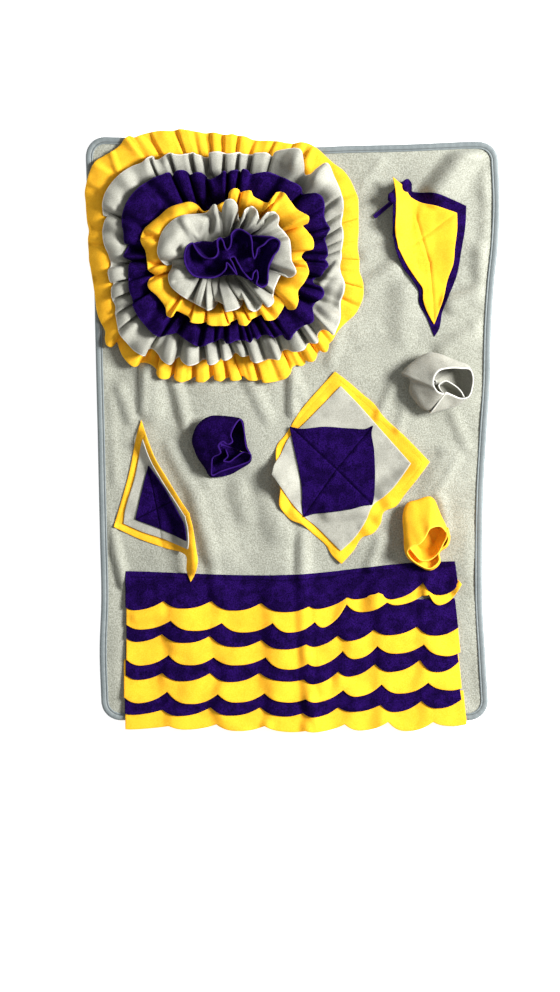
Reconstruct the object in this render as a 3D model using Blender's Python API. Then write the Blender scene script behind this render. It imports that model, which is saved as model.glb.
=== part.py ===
"""A snuffle mat: a bound fleece panel with a gathered rosette, layered squares, pocket rolls
and rows of scalloped strips. All lengths in the tables are millimetres, measured from the
middle of the mat, with +X to the right, +Y to the top of the mat and +Z up."""

import bpy
import numpy as np

MM = 0.001

# Cloth and clearance
FLEECE = 2.0
PANEL = 3.0
TAPE = 1.0
GAP = 0.4
LAYER = FLEECE + 0.8
LAYER_WIDER = 7.0

# Panel outline
HALF_HEIGHT = 354.0
CORNER = 24.0
TAPE_WIDTH = 9.0
EDGE_LIFT = TAPE + 0.5
PANEL_INSET = TAPE + 1.2
FREE_FROM_EDGE = 17.0
SIDE_Y = (-330, -270, -205, -135, -70, 0, 60, 125, 180, 230, 280, 330)
SIDE_LEFT = (-233, -235, -233, -234.5, -236, -237.5, -239, -240.5, -242, -247, -250, -252)
SIDE_RIGHT = (239.5, 236, 232.5, 232.5, 234, 238, 242, 243.5, 247, 252, 254, 252)
TOP_X = (-228, -200, -100, 32, 70, 135, 215)
TOP_RISE = (6, 5, 0, -6.5, -5, -3.5, 0)
TOP_RISE_FADE = 100.0

# Panel rows (y) and columns (as a share of its width), closer where it is creased
PANEL_ROWS = (
    -300, -240, -175, -150, -115, -80, -55, -20, 12, 42, 64, 86, 110, 135, 168, 200, 235, 272,
    297, 315,
)
PANEL_COLUMNS = (
    0, 0.11, 0.16, 0.21, 0.27, 0.33, 0.45, 0.505, 0.56, 0.66, 0.71, 0.76, 0.83, 0.88, 0.92, 0.96, 1
)

ROW_BOW = 4.0

# Soft creases of the panel: from x, y to x, y, half width, height
CREASES = (
    (2, 70, 3, 62, 18, 6),
    (-150, 60, -149, 44, 18, 4),
    (-100, -85, -90, -145, 17, 6),
    (196, 318, 190, 312, 17, 6),
    (92, 318, 93, 302, 18, 4),
    (110, 214, 92, 190, 16, 4),
    (212, 122, 208, 106, 16, 6),
    (202, -42, 196, -62, 16, 5),
)

# Rosette: six gathered strips round one centre
ROSETTE = (-81.0, 214.0)
BEARING_STEP = 22.5
ARCH = 0.62 * np.pi
OUTER_REACH = (163, 177, 170, 150, 147, 163, 187, 185, 166, 171, 176, 165, 154, 166, 170, 172)

# reach: distance of the free edge at each 22.5 degrees; sewn: the sewn line as a share of the
# outermost reach, and its height; height: of the free edge; folds: the bearing where each fold
# starts and how far it stands out
RUFFLES = {
    "ruffle_yellow_outer": dict(
        colour="yellow", sewn=0.74, sewn_z=4.4, height=13.0, reach=OUTER_REACH,
        folds=(
            (-1, 2), (15, 2), (38, 3), (54, 3), (65, 3), (76, 3), (83, 3), (90, 3), (97, 4),
            (113, 4), (125, 3), (131, 4), (147, 3), (158, 2), (167, 2), (180, 2), (190, 2),
            (198, 2), (208, 4), (217, 4), (232, 4), (241, 4), (249, 4), (259, 4), (267, 4),
            (273, 4), (280, 4), (288, 4), (298, 4), (306, 4), (313, 4), (321, 4), (332, 2),
            (339, 2), (346, 2),
        ),
    ),
    "ruffle_grey_outer": dict(
        colour="grey", sewn=0.62, sewn_z=4.35, height=21.0,
        reach=(145, 158, 164, 136, 124, 134, 151, 161, 144, 146, 157, 144, 131, 139, 156, 155),
        folds=(
            (0, 3), (7, 3), (14, 3), (20, 3), (27, 4), (62, 4), (71, 3), (78, 3), (88, 3),
            (99, 3), (109, 3), (120, 3), (128, 4), (146, 4), (158, 4), (177, 4), (186, 4),
            (194, 4), (202, 4), (210, 4), (216, 4), (232, 4), (238, 4), (246, 4), (256, 4),
            (265, 4), (275, 4), (285, 4), (293, 4), (301, 4), (313, 4), (331, 4), (342, 4),
            (350, 3),
        ),
    ),
    "ruffle_purple_outer": dict(
        colour="purple", sewn=0.50, sewn_z=4.25, height=28.0,
        reach=(127, 136, 123, 109, 100, 111, 127, 130, 119, 123, 126, 118, 112, 114, 132, 129),
        folds=(
            (-4, 4), (4, 4), (18, 5), (36, 4), (43, 5), (62, 5), (78, 4), (86, 5), (105, 4),
            (116, 4), (127, 5), (146, 5), (158, 5), (173, 4), (181, 4), (192, 4), (202, 5),
            (211, 5), (229, 4), (236, 5), (255, 4), (264, 5), (276, 5), (289, 5), (306, 4),
            (312, 4), (322, 5), (335, 4), (342, 5),
        ),
    ),
    "ruffle_yellow_inner": dict(
        colour="yellow", sewn=0.38, sewn_z=4.1, height=38.0,
        reach=(99, 112, 96, 82, 72, 62, 77, 98, 98, 99, 98, 90, 87, 91, 105, 106),
        folds=(
            (5, 5), (21, 7), (44, 7), (64, 5), (74, 5), (85, 5), (101, 5), (118, 5), (140, 5),
            (166, 7), (184, 5), (193, 5), (200, 5), (210, 5), (226, 5), (244, 7), (257, 5),
            (264, 5), (274, 5), (282, 5), (293, 7), (309, 7), (323, 5), (332, 7), (350, 7),
        ),
    ),
    "ruffle_grey_inner": dict(
        colour="grey", sewn=0.25, sewn_z=4.0, height=47.0,
        reach=(83, 81, 73, 66, 61, 52, 60, 77, 78, 73, 71, 70, 68, 75, 83, 87),
        folds=(
            (15, 7), (36, 7), (56, 7), (71, 7), (93, 7), (132, 7), (155, 7), (187, 7),
            (211, 7), (230, 7), (247, 7), (261, 7), (274, 7), (288, 7), (302, 7), (321, 9),
            (344, 9),
        ),
    ),
    "ruffle_purple_centre": dict(
        colour="purple", sewn=0.11, sewn_z=3.9, height=52.0,
        reach=(60, 54, 42, 33, 30, 30, 34, 44, 48, 46, 40, 33, 30, 34, 48, 55),
        folds=(
            (0, 10), (28, 8), (55, 8), (80, 6), (105, 6), (130, 8), (155, 9), (180, 10), (205, 9),
            (232, 8), (258, 6), (284, 7), (310, 8), (336, 10),
        ),
    ),
}

# Layered squares: the sides of each sheet as points from one corner up to the next, going
# top corner, right corner, bottom corner, left corner; and where the edges stand up, as
# ridges from x, y to x, y, half width, height
CENTRE_LIFT = ((-22, -48, -18, -60, 50, 13),)
LEFT_LIFT = ((-171, -12, -121, -100, 32, 16), (-121, -100, -118, -184, 32, 16))
KITE_LIFT = ((125, 310, 130, 212, 46, 13),)
EVEN = (0, 0.25, 0.5, 0.75, 1)
NEAR_START = (0, 0.07, 0.14, 0.22, 0.31, 0.42, 0.58, 0.78, 1)
NEAR_END = (0, 0.22, 0.42, 0.58, 0.69, 0.78, 0.86, 0.93, 1)
LEFT_SIDES = (
    ((-182, 13), (-171, -12), (-154, -48), (-130, -86)),
    ((-121, -100), (-115, -140), (-113, -165)),
    ((-121, -184), (-126, -168), (-129, -156), (-153, -142), (-171, -136)),
    ((-215, -118),),
)
SQUARES = {
    "centre_square_yellow": dict(
        colour="yellow", level=0, lift=CENTRE_LIFT, inset=0.0, across=NEAR_START, down=NEAR_END,
        sides=(
            ((55, 72), (100, 34), (110, 22)),
            ((170, -39), (135, -87), (124, -93), (110, -103), (100, -125), (89, -129)),
            ((62, -162), (39, -135), (12, -113), (-9, -92), (-15, -69)),
            ((-16, -45), (-13, -15), (0, 6), (18, 35)),
        ),
    ),
    "centre_square_grey": dict(
        colour="grey", level=1, lift=CENTRE_LIFT, inset=0.0, across=NEAR_START, down=NEAR_END,
        sides=(
            ((61, 54),),
            ((147, -39),),
            ((62, -144), (43, -121), (18, -104), (2, -87), (-11, -69)),
            ((-21, -52), (-12, -31), (0, -7), (12, 7), (34, 28)),
        ),
    ),
    "centre_square_purple": dict(
        colour="purple", level=2, lift=CENTRE_LIFT, inset=0.0, across=EVEN, down=EVEN,
        sides=(
            ((0, 5), (50, 4)),
            ((100, 5), (103, -42)),
            ((100, -89), (60, -101)),
            ((17, -105), (12, -72), (11, -42)),
        ),
    ),
    "left_square_yellow": dict(
        colour="yellow", level=0, lift=LEFT_LIFT, inset=0.0, across=NEAR_END, down=NEAR_START,
        sides=LEFT_SIDES,
    ),
    "left_square_grey": dict(
        colour="grey", level=1, lift=LEFT_LIFT, inset=0.10, across=NEAR_END, down=NEAR_START,
        sides=LEFT_SIDES,
    ),
    "left_square_purple": dict(
        colour="purple", level=2, lift=LEFT_LIFT, inset=0.235, across=NEAR_END, down=NEAR_START,
        sides=LEFT_SIDES,
    ),
    "kite_purple": dict(
        colour="purple", level=0, lift=KITE_LIFT, inset=0.0, across=NEAR_START, down=EVEN,
        sides=(
            ((125, 292), (137, 302), (143, 306), (148, 301), (149, 294), (184, 286)),
            ((215, 275), (212, 240), (204, 207), (195, 165), (185, 138)),
            ((176, 116), (164, 138), (154, 157), (153, 173), (137, 200)),
            ((130, 215), (125, 234), (124, 256), (125, 277)),
        ),
    ),
    "kite_yellow": dict(
        colour="yellow", level=1, lift=KITE_LIFT, inset=0.0, across=NEAR_START, down=EVEN,
        sides=(
            ((125, 308), (137, 302), (144, 289), (157, 280)),
            ((204, 268), (203, 244), (200, 209), (190, 180), (186, 157)),
            ((176, 132), (164, 159), (162, 173), (148, 195)),
            ((136, 220), (130, 236), (129, 256), (131, 283)),
        ),
    ),
}
KITE_TAB = ((129, 287), (103, 263))
KITE_TAB_WIDTH = 5.0

# Pocket rolls: sections from the sewn foot to the mouth, each with its height, middle x, y,
# half width, half depth and drop of its plane towards the mouth's bearing
ROLL_WALL = 2.5
ROLL_FLOOR = 3.0
ROLL_SIDES = 16
ROLLS = {
    "roll_grey": dict(
        colour="grey", mouth=-8.0, dent=(200.0, 0.22),
        sections=(
            (0, 174, 59, 27, 26, 0.0), (13, 171, 61, 36, 35, 0.1),
            (27, 180, 60, 37, 33, 0.25), (39, 196, 55, 26, 28, 0.4),
        ),
    ),
    "roll_purple": dict(
        colour="purple", mouth=-35.0, dent=(35.0, 0.25),
        sections=(
            (0, -88, -16, 22, 22, 0.0), (13, -88, -18, 31, 32, 0.1),
            (26, -84, -19, 30, 34, 0.25), (38, -74, -22, 24, 32, 0.35),
        ),
    ),
    "roll_yellow": dict(
        colour="yellow", mouth=-75.0, dent=(320.0, 0.22),
        sections=(
            (0, 164, -112, 20, 24, 0.0), (13, 164, -112, 26, 28, 0.1),
            (26, 165, -119, 26, 33, 0.25), (37, 167, -133, 23, 31, 0.35),
        ),
    ),
}

# Scalloped strips, top to bottom: each cusp's x and y and the depth of the scallop after it;
# the last row of a strip is only its right end
STRIP_PITCH = 21.6
STRIP_SLOPE = 0.14
STRIP_TOP_X = (-203, 11, 150, 203)
STRIP_TOP_Y = (-172, -176, -162, -160)
STRIP_TOP_LEVEL = -172.0
STRIP_SKEW_LOSS = 0.08
STRIPS = {
    "strip_purple_1": (
        (-201, -217, -217), (-155, -208, -217), (-98, -208, -220), (-35, -211, -220),
        (22, -214, -219), (67, -203, -206), (108, -197, -204), (162, -185, -201), (206, -190, 0),
    ),
    "strip_yellow_1": (
        (-200, -236, -242), (-147, -231, -245), (-84, -234, -246), (-22, -234, -247),
        (31, -233, -237), (69, -213, -222), (118, -209, -213), (162, -200, -211), (209, -195, 0),
    ),
    "strip_purple_2": (
        (-200, -253, -257), (-157, -248, -259), (-98, -251, -264), (-37, -256, -264),
        (20, -261, -264), (58, -250, -256), (103, -242, -251), (155, -240, -251), (206, -240, 0),
    ),
    "strip_yellow_2": (
        (-198, -280, -288), (-149, -274, -288), (-93, -277, -288), (-29, -278, -289),
        (22, -285, -288), (64, -269, -278), (106, -263, -272), (164, -262, -275), (207, -272, 0),
    ),
    "strip_purple_3": (
        (-201, -299, -304), (-157, -296, -306), (-98, -296, -307), (-38, -296, -306),
        (16, -304, -308), (58, -294, -299), (103, -285, -294), (158, -280, -295), (207, -283, 0),
    ),
    "strip_yellow_3": (
        (-202, -326, -332), (-151, -319, -334), (-89, -322, -332), (-32, -321, -332),
        (18, -328, -330), (64, -317, -324), (111, -310, -321), (168, -308, -317), (208, -315, 0),
    ),
    "strip_purple_4": (
        (-202, -346, -346), (-157, -341, -348), (-98, -338, -348), (-37, -338, -349),
        (15, -345, -349), (58, -338, -343), (110, -335, -343), (160, -330, -339), (208, -329, 0),
    ),
    "strip_yellow_4": (
        (-201, -365, -364), (-149, -361, -365), (-91, -359, -367), (-32, -361, -373),
        (18, -367, -367), (66, -359, -366), (119, -356, -367), (174, -356, -361), (217, -359, 0),
    ),
}

COLOURS = {
    "yellow": (0.95, 0.58, 0.02),
    "purple": (0.03, 0.012, 0.16),
    "grey": (0.52, 0.50, 0.44),
    "panel": (0.50, 0.49, 0.43),
    "tape": (0.42, 0.49, 0.51),
}


def clear_scene():
    for obj in list(bpy.data.objects):
        bpy.data.objects.remove(obj, do_unlink=True)


def material(colour):
    """One Principled material per cloth colour, made when it is first asked for."""
    found = bpy.data.materials.get(colour)
    if found:
        return found
    made = bpy.data.materials.new(colour)
    made.use_nodes = True
    shader = made.node_tree.nodes["Principled BSDF"]
    shader.inputs["Base Color"].default_value = (*COLOURS[colour], 1.0)
    shader.inputs["Roughness"].default_value = 0.5 if colour == "tape" else 0.95
    shader.inputs["Metallic"].default_value = 0.0
    return made


def add_object(name, points, faces, colour):
    """An object from points in millimetres, smooth except at its sharp edges."""
    mesh = bpy.data.meshes.new(name)
    mesh.from_pydata((np.asarray(points) * MM).tolist(), [], [list(map(int, f)) for f in faces])
    mesh.materials.append(material(colour))
    mesh.shade_smooth()
    obj = bpy.data.objects.new(name, mesh)
    bpy.context.scene.collection.objects.link(obj)
    return obj


def grid_faces(rows, columns, wrap_rows=False, wrap_columns=False):
    """Quads of a rows by columns grid of points, joined end to end where asked."""
    i, j = np.meshgrid(
        np.arange(rows if wrap_rows else rows - 1),
        np.arange(columns if wrap_columns else columns - 1),
        indexing="ij",
    )
    i, j = i.ravel(), j.ravel()
    up, right = (i + 1) % rows, (j + 1) % columns
    return np.stack([i * columns + j, up * columns + j, up * columns + right, i * columns + right], 1)


def facing_up(points, faces):
    """The same faces, turned over if they look down on the whole."""
    a, b, c = (points[faces[:, k]] for k in (0, 1, 2))
    upward = np.cross(b - a, c - a)[:, 2].sum()
    return faces if upward > 0 else faces[:, ::-1]


def sheet(name, grid, thickness, colour, offset=0.0, wrap=False):
    """A sheet of even thickness on a grid of points, given its thickness by Solidify."""
    rows, columns = grid.shape[:2]
    points = grid.reshape(-1, 3)
    faces = facing_up(points, grid_faces(rows, columns, wrap_rows=wrap))
    obj = add_object(name, points, faces, colour)
    solid = obj.modifiers.new("thickness", "SOLIDIFY")
    solid.thickness = thickness * MM
    solid.offset = offset
    return obj


def rounded(t):
    """Smooth step from 0 to 1 as t goes from 0 to 1."""
    t = np.clip(t, 0.0, 1.0)
    return t * t * (3.0 - 2.0 * t)


def curve(at, knots, values):
    """Cubic through the knots, each knot's slope taken from its neighbours."""
    knots, values = np.asarray(knots, float), np.asarray(values, float)
    at = np.clip(at, knots[0], knots[-1])
    slope = np.gradient(values, knots)
    i = np.clip(np.searchsorted(knots, at, side="right") - 1, 0, len(knots) - 2)
    span = knots[i + 1] - knots[i]
    t = (at - knots[i]) / span
    return (
        (2 * t**3 - 3 * t**2 + 1) * values[i]
        + (t**3 - 2 * t**2 + t) * span * slope[i]
        + (3 * t**2 - 2 * t**3) * values[i + 1]
        + (t**3 - t**2) * span * slope[i + 1]
    )


def round_curve(bearing, values):
    """Closed cubic through values given at every 22.5 degrees."""
    count = len(values)
    steps = np.arange(-2, count + 3)
    return curve(np.mod(bearing, 360.0), steps * BEARING_STEP, np.take(values, steps, mode="wrap"))


def ridges(x, y, rows):
    """The highest of several rounded ridges: a raised cosine across each, from its crest."""
    height = np.zeros(np.broadcast(x, y).shape)
    for x0, y0, x1, y1, half_width, top in rows:
        along = np.array([x1 - x0, y1 - y0], float)
        length = max(along @ along, 1e-9)
        t = np.clip(((x - x0) * along[0] + (y - y0) * along[1]) / length, 0.0, 1.0)
        away = np.hypot(x - x0 - t * along[0], y - y0 - t * along[1])
        wave = np.cos(0.5 * np.pi * np.minimum(away / half_width, 1.0)) ** 2
        height = np.maximum(height, top * wave)
    return height


def top_rise(x, y):
    """How far the top edge leaves its straight line, fading down the panel."""
    return curve(x, TOP_X, TOP_RISE) * rounded((y - HALF_HEIGHT) / TOP_RISE_FADE + 1.0)


def row_ends(y, inset):
    """Left and right x of the panel at height y, round its corners, inset all round."""
    half, corner = HALF_HEIGHT - inset, CORNER - inset
    into = np.clip(np.abs(y) - (half - corner), 0.0, corner)
    round_off = corner - np.sqrt(corner**2 - into**2)
    left = curve(y, SIDE_Y, SIDE_LEFT) + inset + round_off
    right = curve(y, SIDE_Y, SIDE_RIGHT) - inset - round_off
    return left, right


def make_panel():
    """The fleece panel, flat on the floor but for its creases and its bound edge."""
    half = HALF_HEIGHT - PANEL_INSET
    near_end = np.array([0.0, 3.0, 9.6, FREE_FROM_EDGE])
    rows = np.concatenate([-half + near_end, PANEL_ROWS, (half - near_end)[::-1]])
    share = np.array(PANEL_COLUMNS)
    left, right = row_ends(rows, PANEL_INSET)
    x = np.empty((len(rows), len(share) + 4))
    inner_left, inner_right = left + FREE_FROM_EDGE, right - FREE_FROM_EDGE
    x[:, 0], x[:, 1] = left, left + 8.5
    x[:, 2:-2] = inner_left[:, None] + (inner_right - inner_left)[:, None] * share
    x[:, -2], x[:, -1] = right - 8.5, right
    y = np.repeat(rows[:, None], x.shape[1], axis=1)
    # Rows bow a little, so that points of the flat parts are never in line
    y = y + ROW_BOW * (1.0 - (y / half) ** 2) * np.cos(x / 200.0) ** 2
    inside = np.minimum.reduce([x - left[:, None], right[:, None] - x, half - y, half + y])
    rim = EDGE_LIFT * (1.0 - rounded((inside - 8.0) / (FREE_FROM_EDGE - 8.0)))
    z = rim + ridges(x, y, CREASES)
    grid = np.stack([x, y + top_rise(x, y), z], axis=-1)
    return sheet("panel", grid, PANEL, "panel", offset=1.0)


def outline_loop():
    """Points round the mat's outer edge, anticlockwise, with corners as arcs."""
    straight = np.linspace(-(HALF_HEIGHT - CORNER), HALF_HEIGHT - CORNER, 10)
    arc = np.radians([18, 36, 54, 72, 90])
    corner_y = HALF_HEIGHT - CORNER + CORNER * np.sin(arc)
    right_y = np.concatenate([-corner_y[::-1], straight, corner_y])
    left_y = right_y[::-1]
    right_x = row_ends(right_y, 0.0)[1]
    left_x = row_ends(left_y, 0.0)[0]
    across = np.linspace(0.0, 1.0, 8)[1:-1]
    top_x = right_x[-1] + (left_x[0] - right_x[-1]) * across
    bottom_x = left_x[-1] + (right_x[0] - left_x[-1]) * across
    x = np.concatenate([right_x, top_x, left_x, bottom_x])
    y = np.concatenate([
        right_y, np.full(len(across), HALF_HEIGHT), left_y, np.full(len(across), -HALF_HEIGHT)
    ])
    return np.stack([x, y + top_rise(x, y)], axis=1)


def make_binding():
    """Tape folded round the panel's edge: a U section carried along the outline."""
    loop = outline_loop()
    ahead = np.roll(loop, -1, axis=0) - np.roll(loop, 1, axis=0)
    ahead /= np.linalg.norm(ahead, axis=1)[:, None]
    inward = np.stack([-ahead[:, 1], ahead[:, 0]], axis=1)
    slot_top = EDGE_LIFT + PANEL + GAP
    profile = np.array([
        (TAPE_WIDTH, 0.0), (1.5, 0.0), (0.0, 1.5), (0.0, slot_top - 0.5),
        (1.5, slot_top + TAPE), (TAPE_WIDTH, slot_top + TAPE), (TAPE_WIDTH, slot_top),
        (TAPE, slot_top), (TAPE, TAPE), (TAPE_WIDTH, TAPE),
    ])
    flat = loop[:, None, :] + inward[:, None, :] * profile[None, :, :1]
    height = np.broadcast_to(profile[None, :, 1:], (len(loop), len(profile), 1))
    grid = np.concatenate([flat, height], axis=2)
    faces = grid_faces(len(loop), len(profile), wrap_rows=True, wrap_columns=True)
    return add_object("edge_binding", grid.reshape(-1, 3), faces, "tape")


def arched_strip(ruffle, bearing, t):
    """Mean surface of a gathered strip: it rises from its sewn line and arches outwards."""
    sewn = round_curve(bearing, OUTER_REACH) * ruffle["sewn"]
    free = round_curve(bearing, ruffle["reach"])
    away = sewn + (free - sewn) * t**1.15
    rise = (ruffle["height"] - ruffle["sewn_z"]) * np.sin(ARCH * t) / np.sin(ARCH)
    angle = np.radians(bearing)
    x = ROSETTE[0] + away * np.cos(angle)
    y = ROSETTE[1] + away * np.sin(angle)
    return np.stack(np.broadcast_arrays(x, y, ruffle["sewn_z"] + rise), axis=-1)


def make_ruffle(name, ruffle):
    """A gathered strip sewn in a ring: each fold grows from the sewn line to the free edge."""
    levels = (0.0, 1.0) if name == "ruffle_yellow_outer" else (0.0, 0.5, 1.0)
    starts = np.array([row[0] for row in ruffle["folds"]], float)
    heights = np.array([row[1] for row in ruffle["folds"]], float)
    crests = 0.5 * (starts + np.append(starts[1:], starts[0] + 360.0))
    bearing = np.stack([starts, crests], axis=1).reshape(-1, 1)
    fold = np.stack([-0.4 * heights, 0.6 * heights], axis=1).reshape(-1, 1, 1)
    t = np.array(levels)[None, :]
    step = 1e-3
    middle = arched_strip(ruffle, bearing, t)
    outwards = arched_strip(ruffle, bearing, t + step) - middle
    onwards = arched_strip(ruffle, bearing + step, t) - middle
    upwards = np.cross(outwards, onwards)
    upwards /= np.linalg.norm(upwards, axis=-1, keepdims=True)
    grid = middle + upwards * fold * rounded(t)[..., None]
    return sheet(name, grid, FLEECE, ruffle["colour"], wrap=True)


def along_side(points, count):
    """Evenly spaced points along a side given by a few points."""
    points = np.asarray(points, float)
    run = np.append(0.0, np.cumsum(np.linalg.norm(np.diff(points, axis=0), axis=1)))
    at = np.linspace(0.0, run[-1], count)
    return np.stack([np.interp(at, run, points[:, k]) for k in (0, 1)], axis=1)


def square_plan(square):
    """Grid inside four sides, each point blended from the four sides (a Coons patch)."""
    fine = 41
    sides, inset = square["sides"], square["inset"]
    first = [side[0] for side in sides]
    lines = [
        along_side(list(side) + [first[(k + 1) % 4]], fine) for k, side in enumerate(sides)
    ]
    top, right, bottom, left = lines[0], lines[1], lines[2][::-1], lines[3][::-1]
    across = np.unique(np.clip(square["across"], inset, 1.0 - inset))
    down = np.unique(np.clip(square["down"], inset, 1.0 - inset))
    pick = np.linspace(0.0, 1.0, fine)

    def on(line, share):
        return np.stack([np.interp(share, pick, line[:, k]) for k in (0, 1)], axis=1)

    u, v = across[:, None, None], down[None, :, None]
    corners = (
        (1 - u) * (1 - v) * top[0] + u * (1 - v) * top[-1]
        + (1 - u) * v * bottom[0] + u * v * bottom[-1]
    )
    return (
        (1 - v) * on(top, across)[:, None] + v * on(bottom, across)[:, None]
        + (1 - u) * on(left, down)[None, :] + u * on(right, down)[None, :] - corners
    )


def lifted(x, y, level, lift):
    """Height of a layer's middle over the panel, layers kept apart square to the slope."""
    step = 0.1
    # A layer bridges the foot of the ridge under it, so its own ridge is a little wider
    lift = [(*row[:4], row[4] + LAYER_WIDER * level, row[5] + 0.5 * level) for row in lift]
    height = ridges(x, y, lift)
    slope_x = (ridges(x + step, y, lift) - height) / step
    slope_y = (ridges(x, y + step, lift) - height) / step
    spread = np.sqrt(1.0 + slope_x**2 + slope_y**2)
    return PANEL + GAP + height + (0.5 * FLEECE + level * LAYER) * spread


def make_square(name, square):
    """One sheet of a layered square, with the edges that stand up."""
    plan = square_plan(square)
    x, y = plan[..., 0], plan[..., 1]
    z = lifted(x, y, square["level"], square["lift"])
    return sheet(name, np.stack([x, y, z], axis=-1), FLEECE, square["colour"])


def make_kite_tab(backing):
    """The narrow turned corner of the kite's backing, joined to it."""
    start, end = np.array(KITE_TAB, float)
    side = np.array([end[1] - start[1], start[0] - end[0]])
    side *= 0.5 * KITE_TAB_WIDTH / np.linalg.norm(side)
    level = lifted(start[0], start[1], 0, KITE_LIFT)
    corners = np.array([start - side, start + side, end + side, end - side])
    grid = np.concatenate([corners, np.full((4, 1), level)], axis=1)[[0, 1, 3, 2]].reshape(2, 2, 3)
    tab = sheet("kite_tab", grid, FLEECE, "purple")
    tab.hide_render = True
    tab.display_type = "WIRE"
    join = backing.modifiers.new("tab", "BOOLEAN")
    join.operation = "UNION"
    join.object = tab


def roll_section(section, mouth, dent, wall, lift):
    """One section of a roll: an ellipse with one soft dent, its plane dropped to the mouth."""
    height, x, y, half_width, half_depth, drop = section
    angle = np.linspace(0.0, 2.0 * np.pi, ROLL_SIDES, endpoint=False)
    turn = (np.degrees(angle) - dent[0] + 180.0) % 360.0 - 180.0
    pinch = 1.0 - dent[1] * lift * np.exp(-((turn / 32.0) ** 2))
    across = (half_width - wall) * pinch * np.cos(angle)
    deep = (half_depth - wall) * pinch * np.sin(angle)
    towards = np.radians(mouth)
    down = drop * (across * np.cos(towards) + deep * np.sin(towards))
    return np.stack([x + across, y + deep, PANEL + GAP + height - down], axis=1)


def make_roll(name, roll):
    """An open pocket of rolled fleece: outer wall, rim, inner wall and floor as one body."""
    rings = []
    last = len(roll["sections"]) - 1
    for k, section in enumerate(roll["sections"]):
        rings.append(roll_section(section, roll["mouth"], roll["dent"], 0.0, k / last))
    for k in range(last, -1, -1):
        ring = roll_section(roll["sections"][k], roll["mouth"], roll["dent"], ROLL_WALL, k / last)
        if k == 0:
            ring[:, 2] += ROLL_FLOOR
        rings.append(ring)
    points = np.concatenate(rings)
    faces = [list(f) for f in grid_faces(len(rings), ROLL_SIDES, wrap_columns=True)[:, ::-1]]
    foot = np.arange(ROLL_SIDES)
    faces.append(list(foot[::-1]))
    faces.append(list(foot + (len(rings) - 1) * ROLL_SIDES))
    return add_object(name, points, faces, roll["colour"])


def make_strip(name, order, rows):
    """A strip sewn along its top edge, lying on the strips below, its free edge scalloped."""
    rows = np.array(rows, float)
    shape = ((0.0, 0.0), (0.3, 0.9), (0.7, 0.9))
    x, y = [], []
    for (x0, y0, belly), (x1, y1, _) in zip(rows[:-1], rows[1:]):
        for share, depth in shape:
            chord = y0 + (y1 - y0) * share
            x.append(x0 + (x1 - x0) * share)
            y.append(chord + (belly - chord) * depth)
    x, y = np.array(x + [rows[-1, 0]]), np.array(y + [rows[-1, 1]])
    skew = curve(x, STRIP_TOP_X, STRIP_TOP_Y) - STRIP_TOP_LEVEL
    top = STRIP_TOP_LEVEL - order * STRIP_PITCH + skew * (1.0 - STRIP_SKEW_LOSS * order)
    level = PANEL + GAP + 0.5 * FLEECE + 0.2
    sewn = np.stack([x, top, np.full(len(x), level)], axis=1)
    free = np.stack([x, y, level + STRIP_SLOPE * (top - y)], axis=1)
    colour = "yellow" if "yellow" in name else "purple"
    return sheet(name, np.stack([sewn, free]), FLEECE, colour)


def main():
    clear_scene()
    make_panel()
    make_binding()
    for name, ruffle in RUFFLES.items():
        make_ruffle(name, ruffle)
    for name, square in SQUARES.items():
        make_square(name, square)
    make_kite_tab(bpy.data.objects["kite_purple"])
    for name, roll in ROLLS.items():
        make_roll(name, roll)
    for order, (name, rows) in enumerate(STRIPS.items()):
        make_strip(name, order, rows)


main()
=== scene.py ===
# %% [markdown]
# # A snuffle mat, cloth by cloth
#
# A snuffle mat is a bound fleece panel with more fleece sewn on it, in ways that hide dry food
# from a dog: a gathered rosette, stacked squares with loose edges, open rolls and rows of
# scalloped strips. Everything here is sheet cloth, so every piece is made in the same way: a
# middle surface worked out with numpy, given its thickness and a soft cut edge.
#
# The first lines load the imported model. Its solids are the frame: they say where each piece
# lies and how large it is, and the cloth made here takes their places.

import bpy
import numpy as np
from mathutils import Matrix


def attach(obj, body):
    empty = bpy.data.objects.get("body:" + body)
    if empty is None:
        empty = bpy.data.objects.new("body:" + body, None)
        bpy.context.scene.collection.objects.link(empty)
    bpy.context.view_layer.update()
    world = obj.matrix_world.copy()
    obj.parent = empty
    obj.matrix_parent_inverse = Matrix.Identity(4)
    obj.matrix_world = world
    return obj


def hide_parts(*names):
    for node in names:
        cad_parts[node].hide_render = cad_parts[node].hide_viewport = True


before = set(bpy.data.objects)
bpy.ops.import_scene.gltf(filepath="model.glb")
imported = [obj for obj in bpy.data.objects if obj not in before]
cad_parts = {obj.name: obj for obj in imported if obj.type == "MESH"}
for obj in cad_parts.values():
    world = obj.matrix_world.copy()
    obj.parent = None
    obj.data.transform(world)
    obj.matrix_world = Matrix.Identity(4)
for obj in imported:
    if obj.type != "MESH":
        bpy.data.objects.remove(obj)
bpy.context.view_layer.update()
MM = 0.001

# %% [markdown]
# ## Camera and light
#
# The mat lies flat, so the camera looks straight down from far away through a long lens. Far
# away means that a ruffle standing 50 mm high hardly leans outwards in the render.
# One large soft lamp stands low on the right. Low light rakes over the nap and gives each fold
# a bright and a dark side. The pale world fills the shadows.

# %% Camera and light
RENDER = (560, 992)  # width and height of the render, in pixels
PIXEL_SIZE = 1.224  # millimetres of mat that one pixel shows
MAT_MIDDLE = (290, 431)  # the pixel where the middle of the mat falls
LENS = 180.0  # millimetres
SENSOR = 36.0
VIEW_ENDS = 50.0  # metres
LAMP_DISTANCE = 3.0  # metres
LAMP_TURN = 14.0  # degrees from +X towards +Y
LAMP_HEIGHT = 38.0  # degrees above the floor
LAMP_SIZE = 0.95
LAMP_WATTS = 225.0
WORLD_LIGHT = 0.42
WHITE = (1.0, 1.0, 1.0, 1.0)


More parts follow.
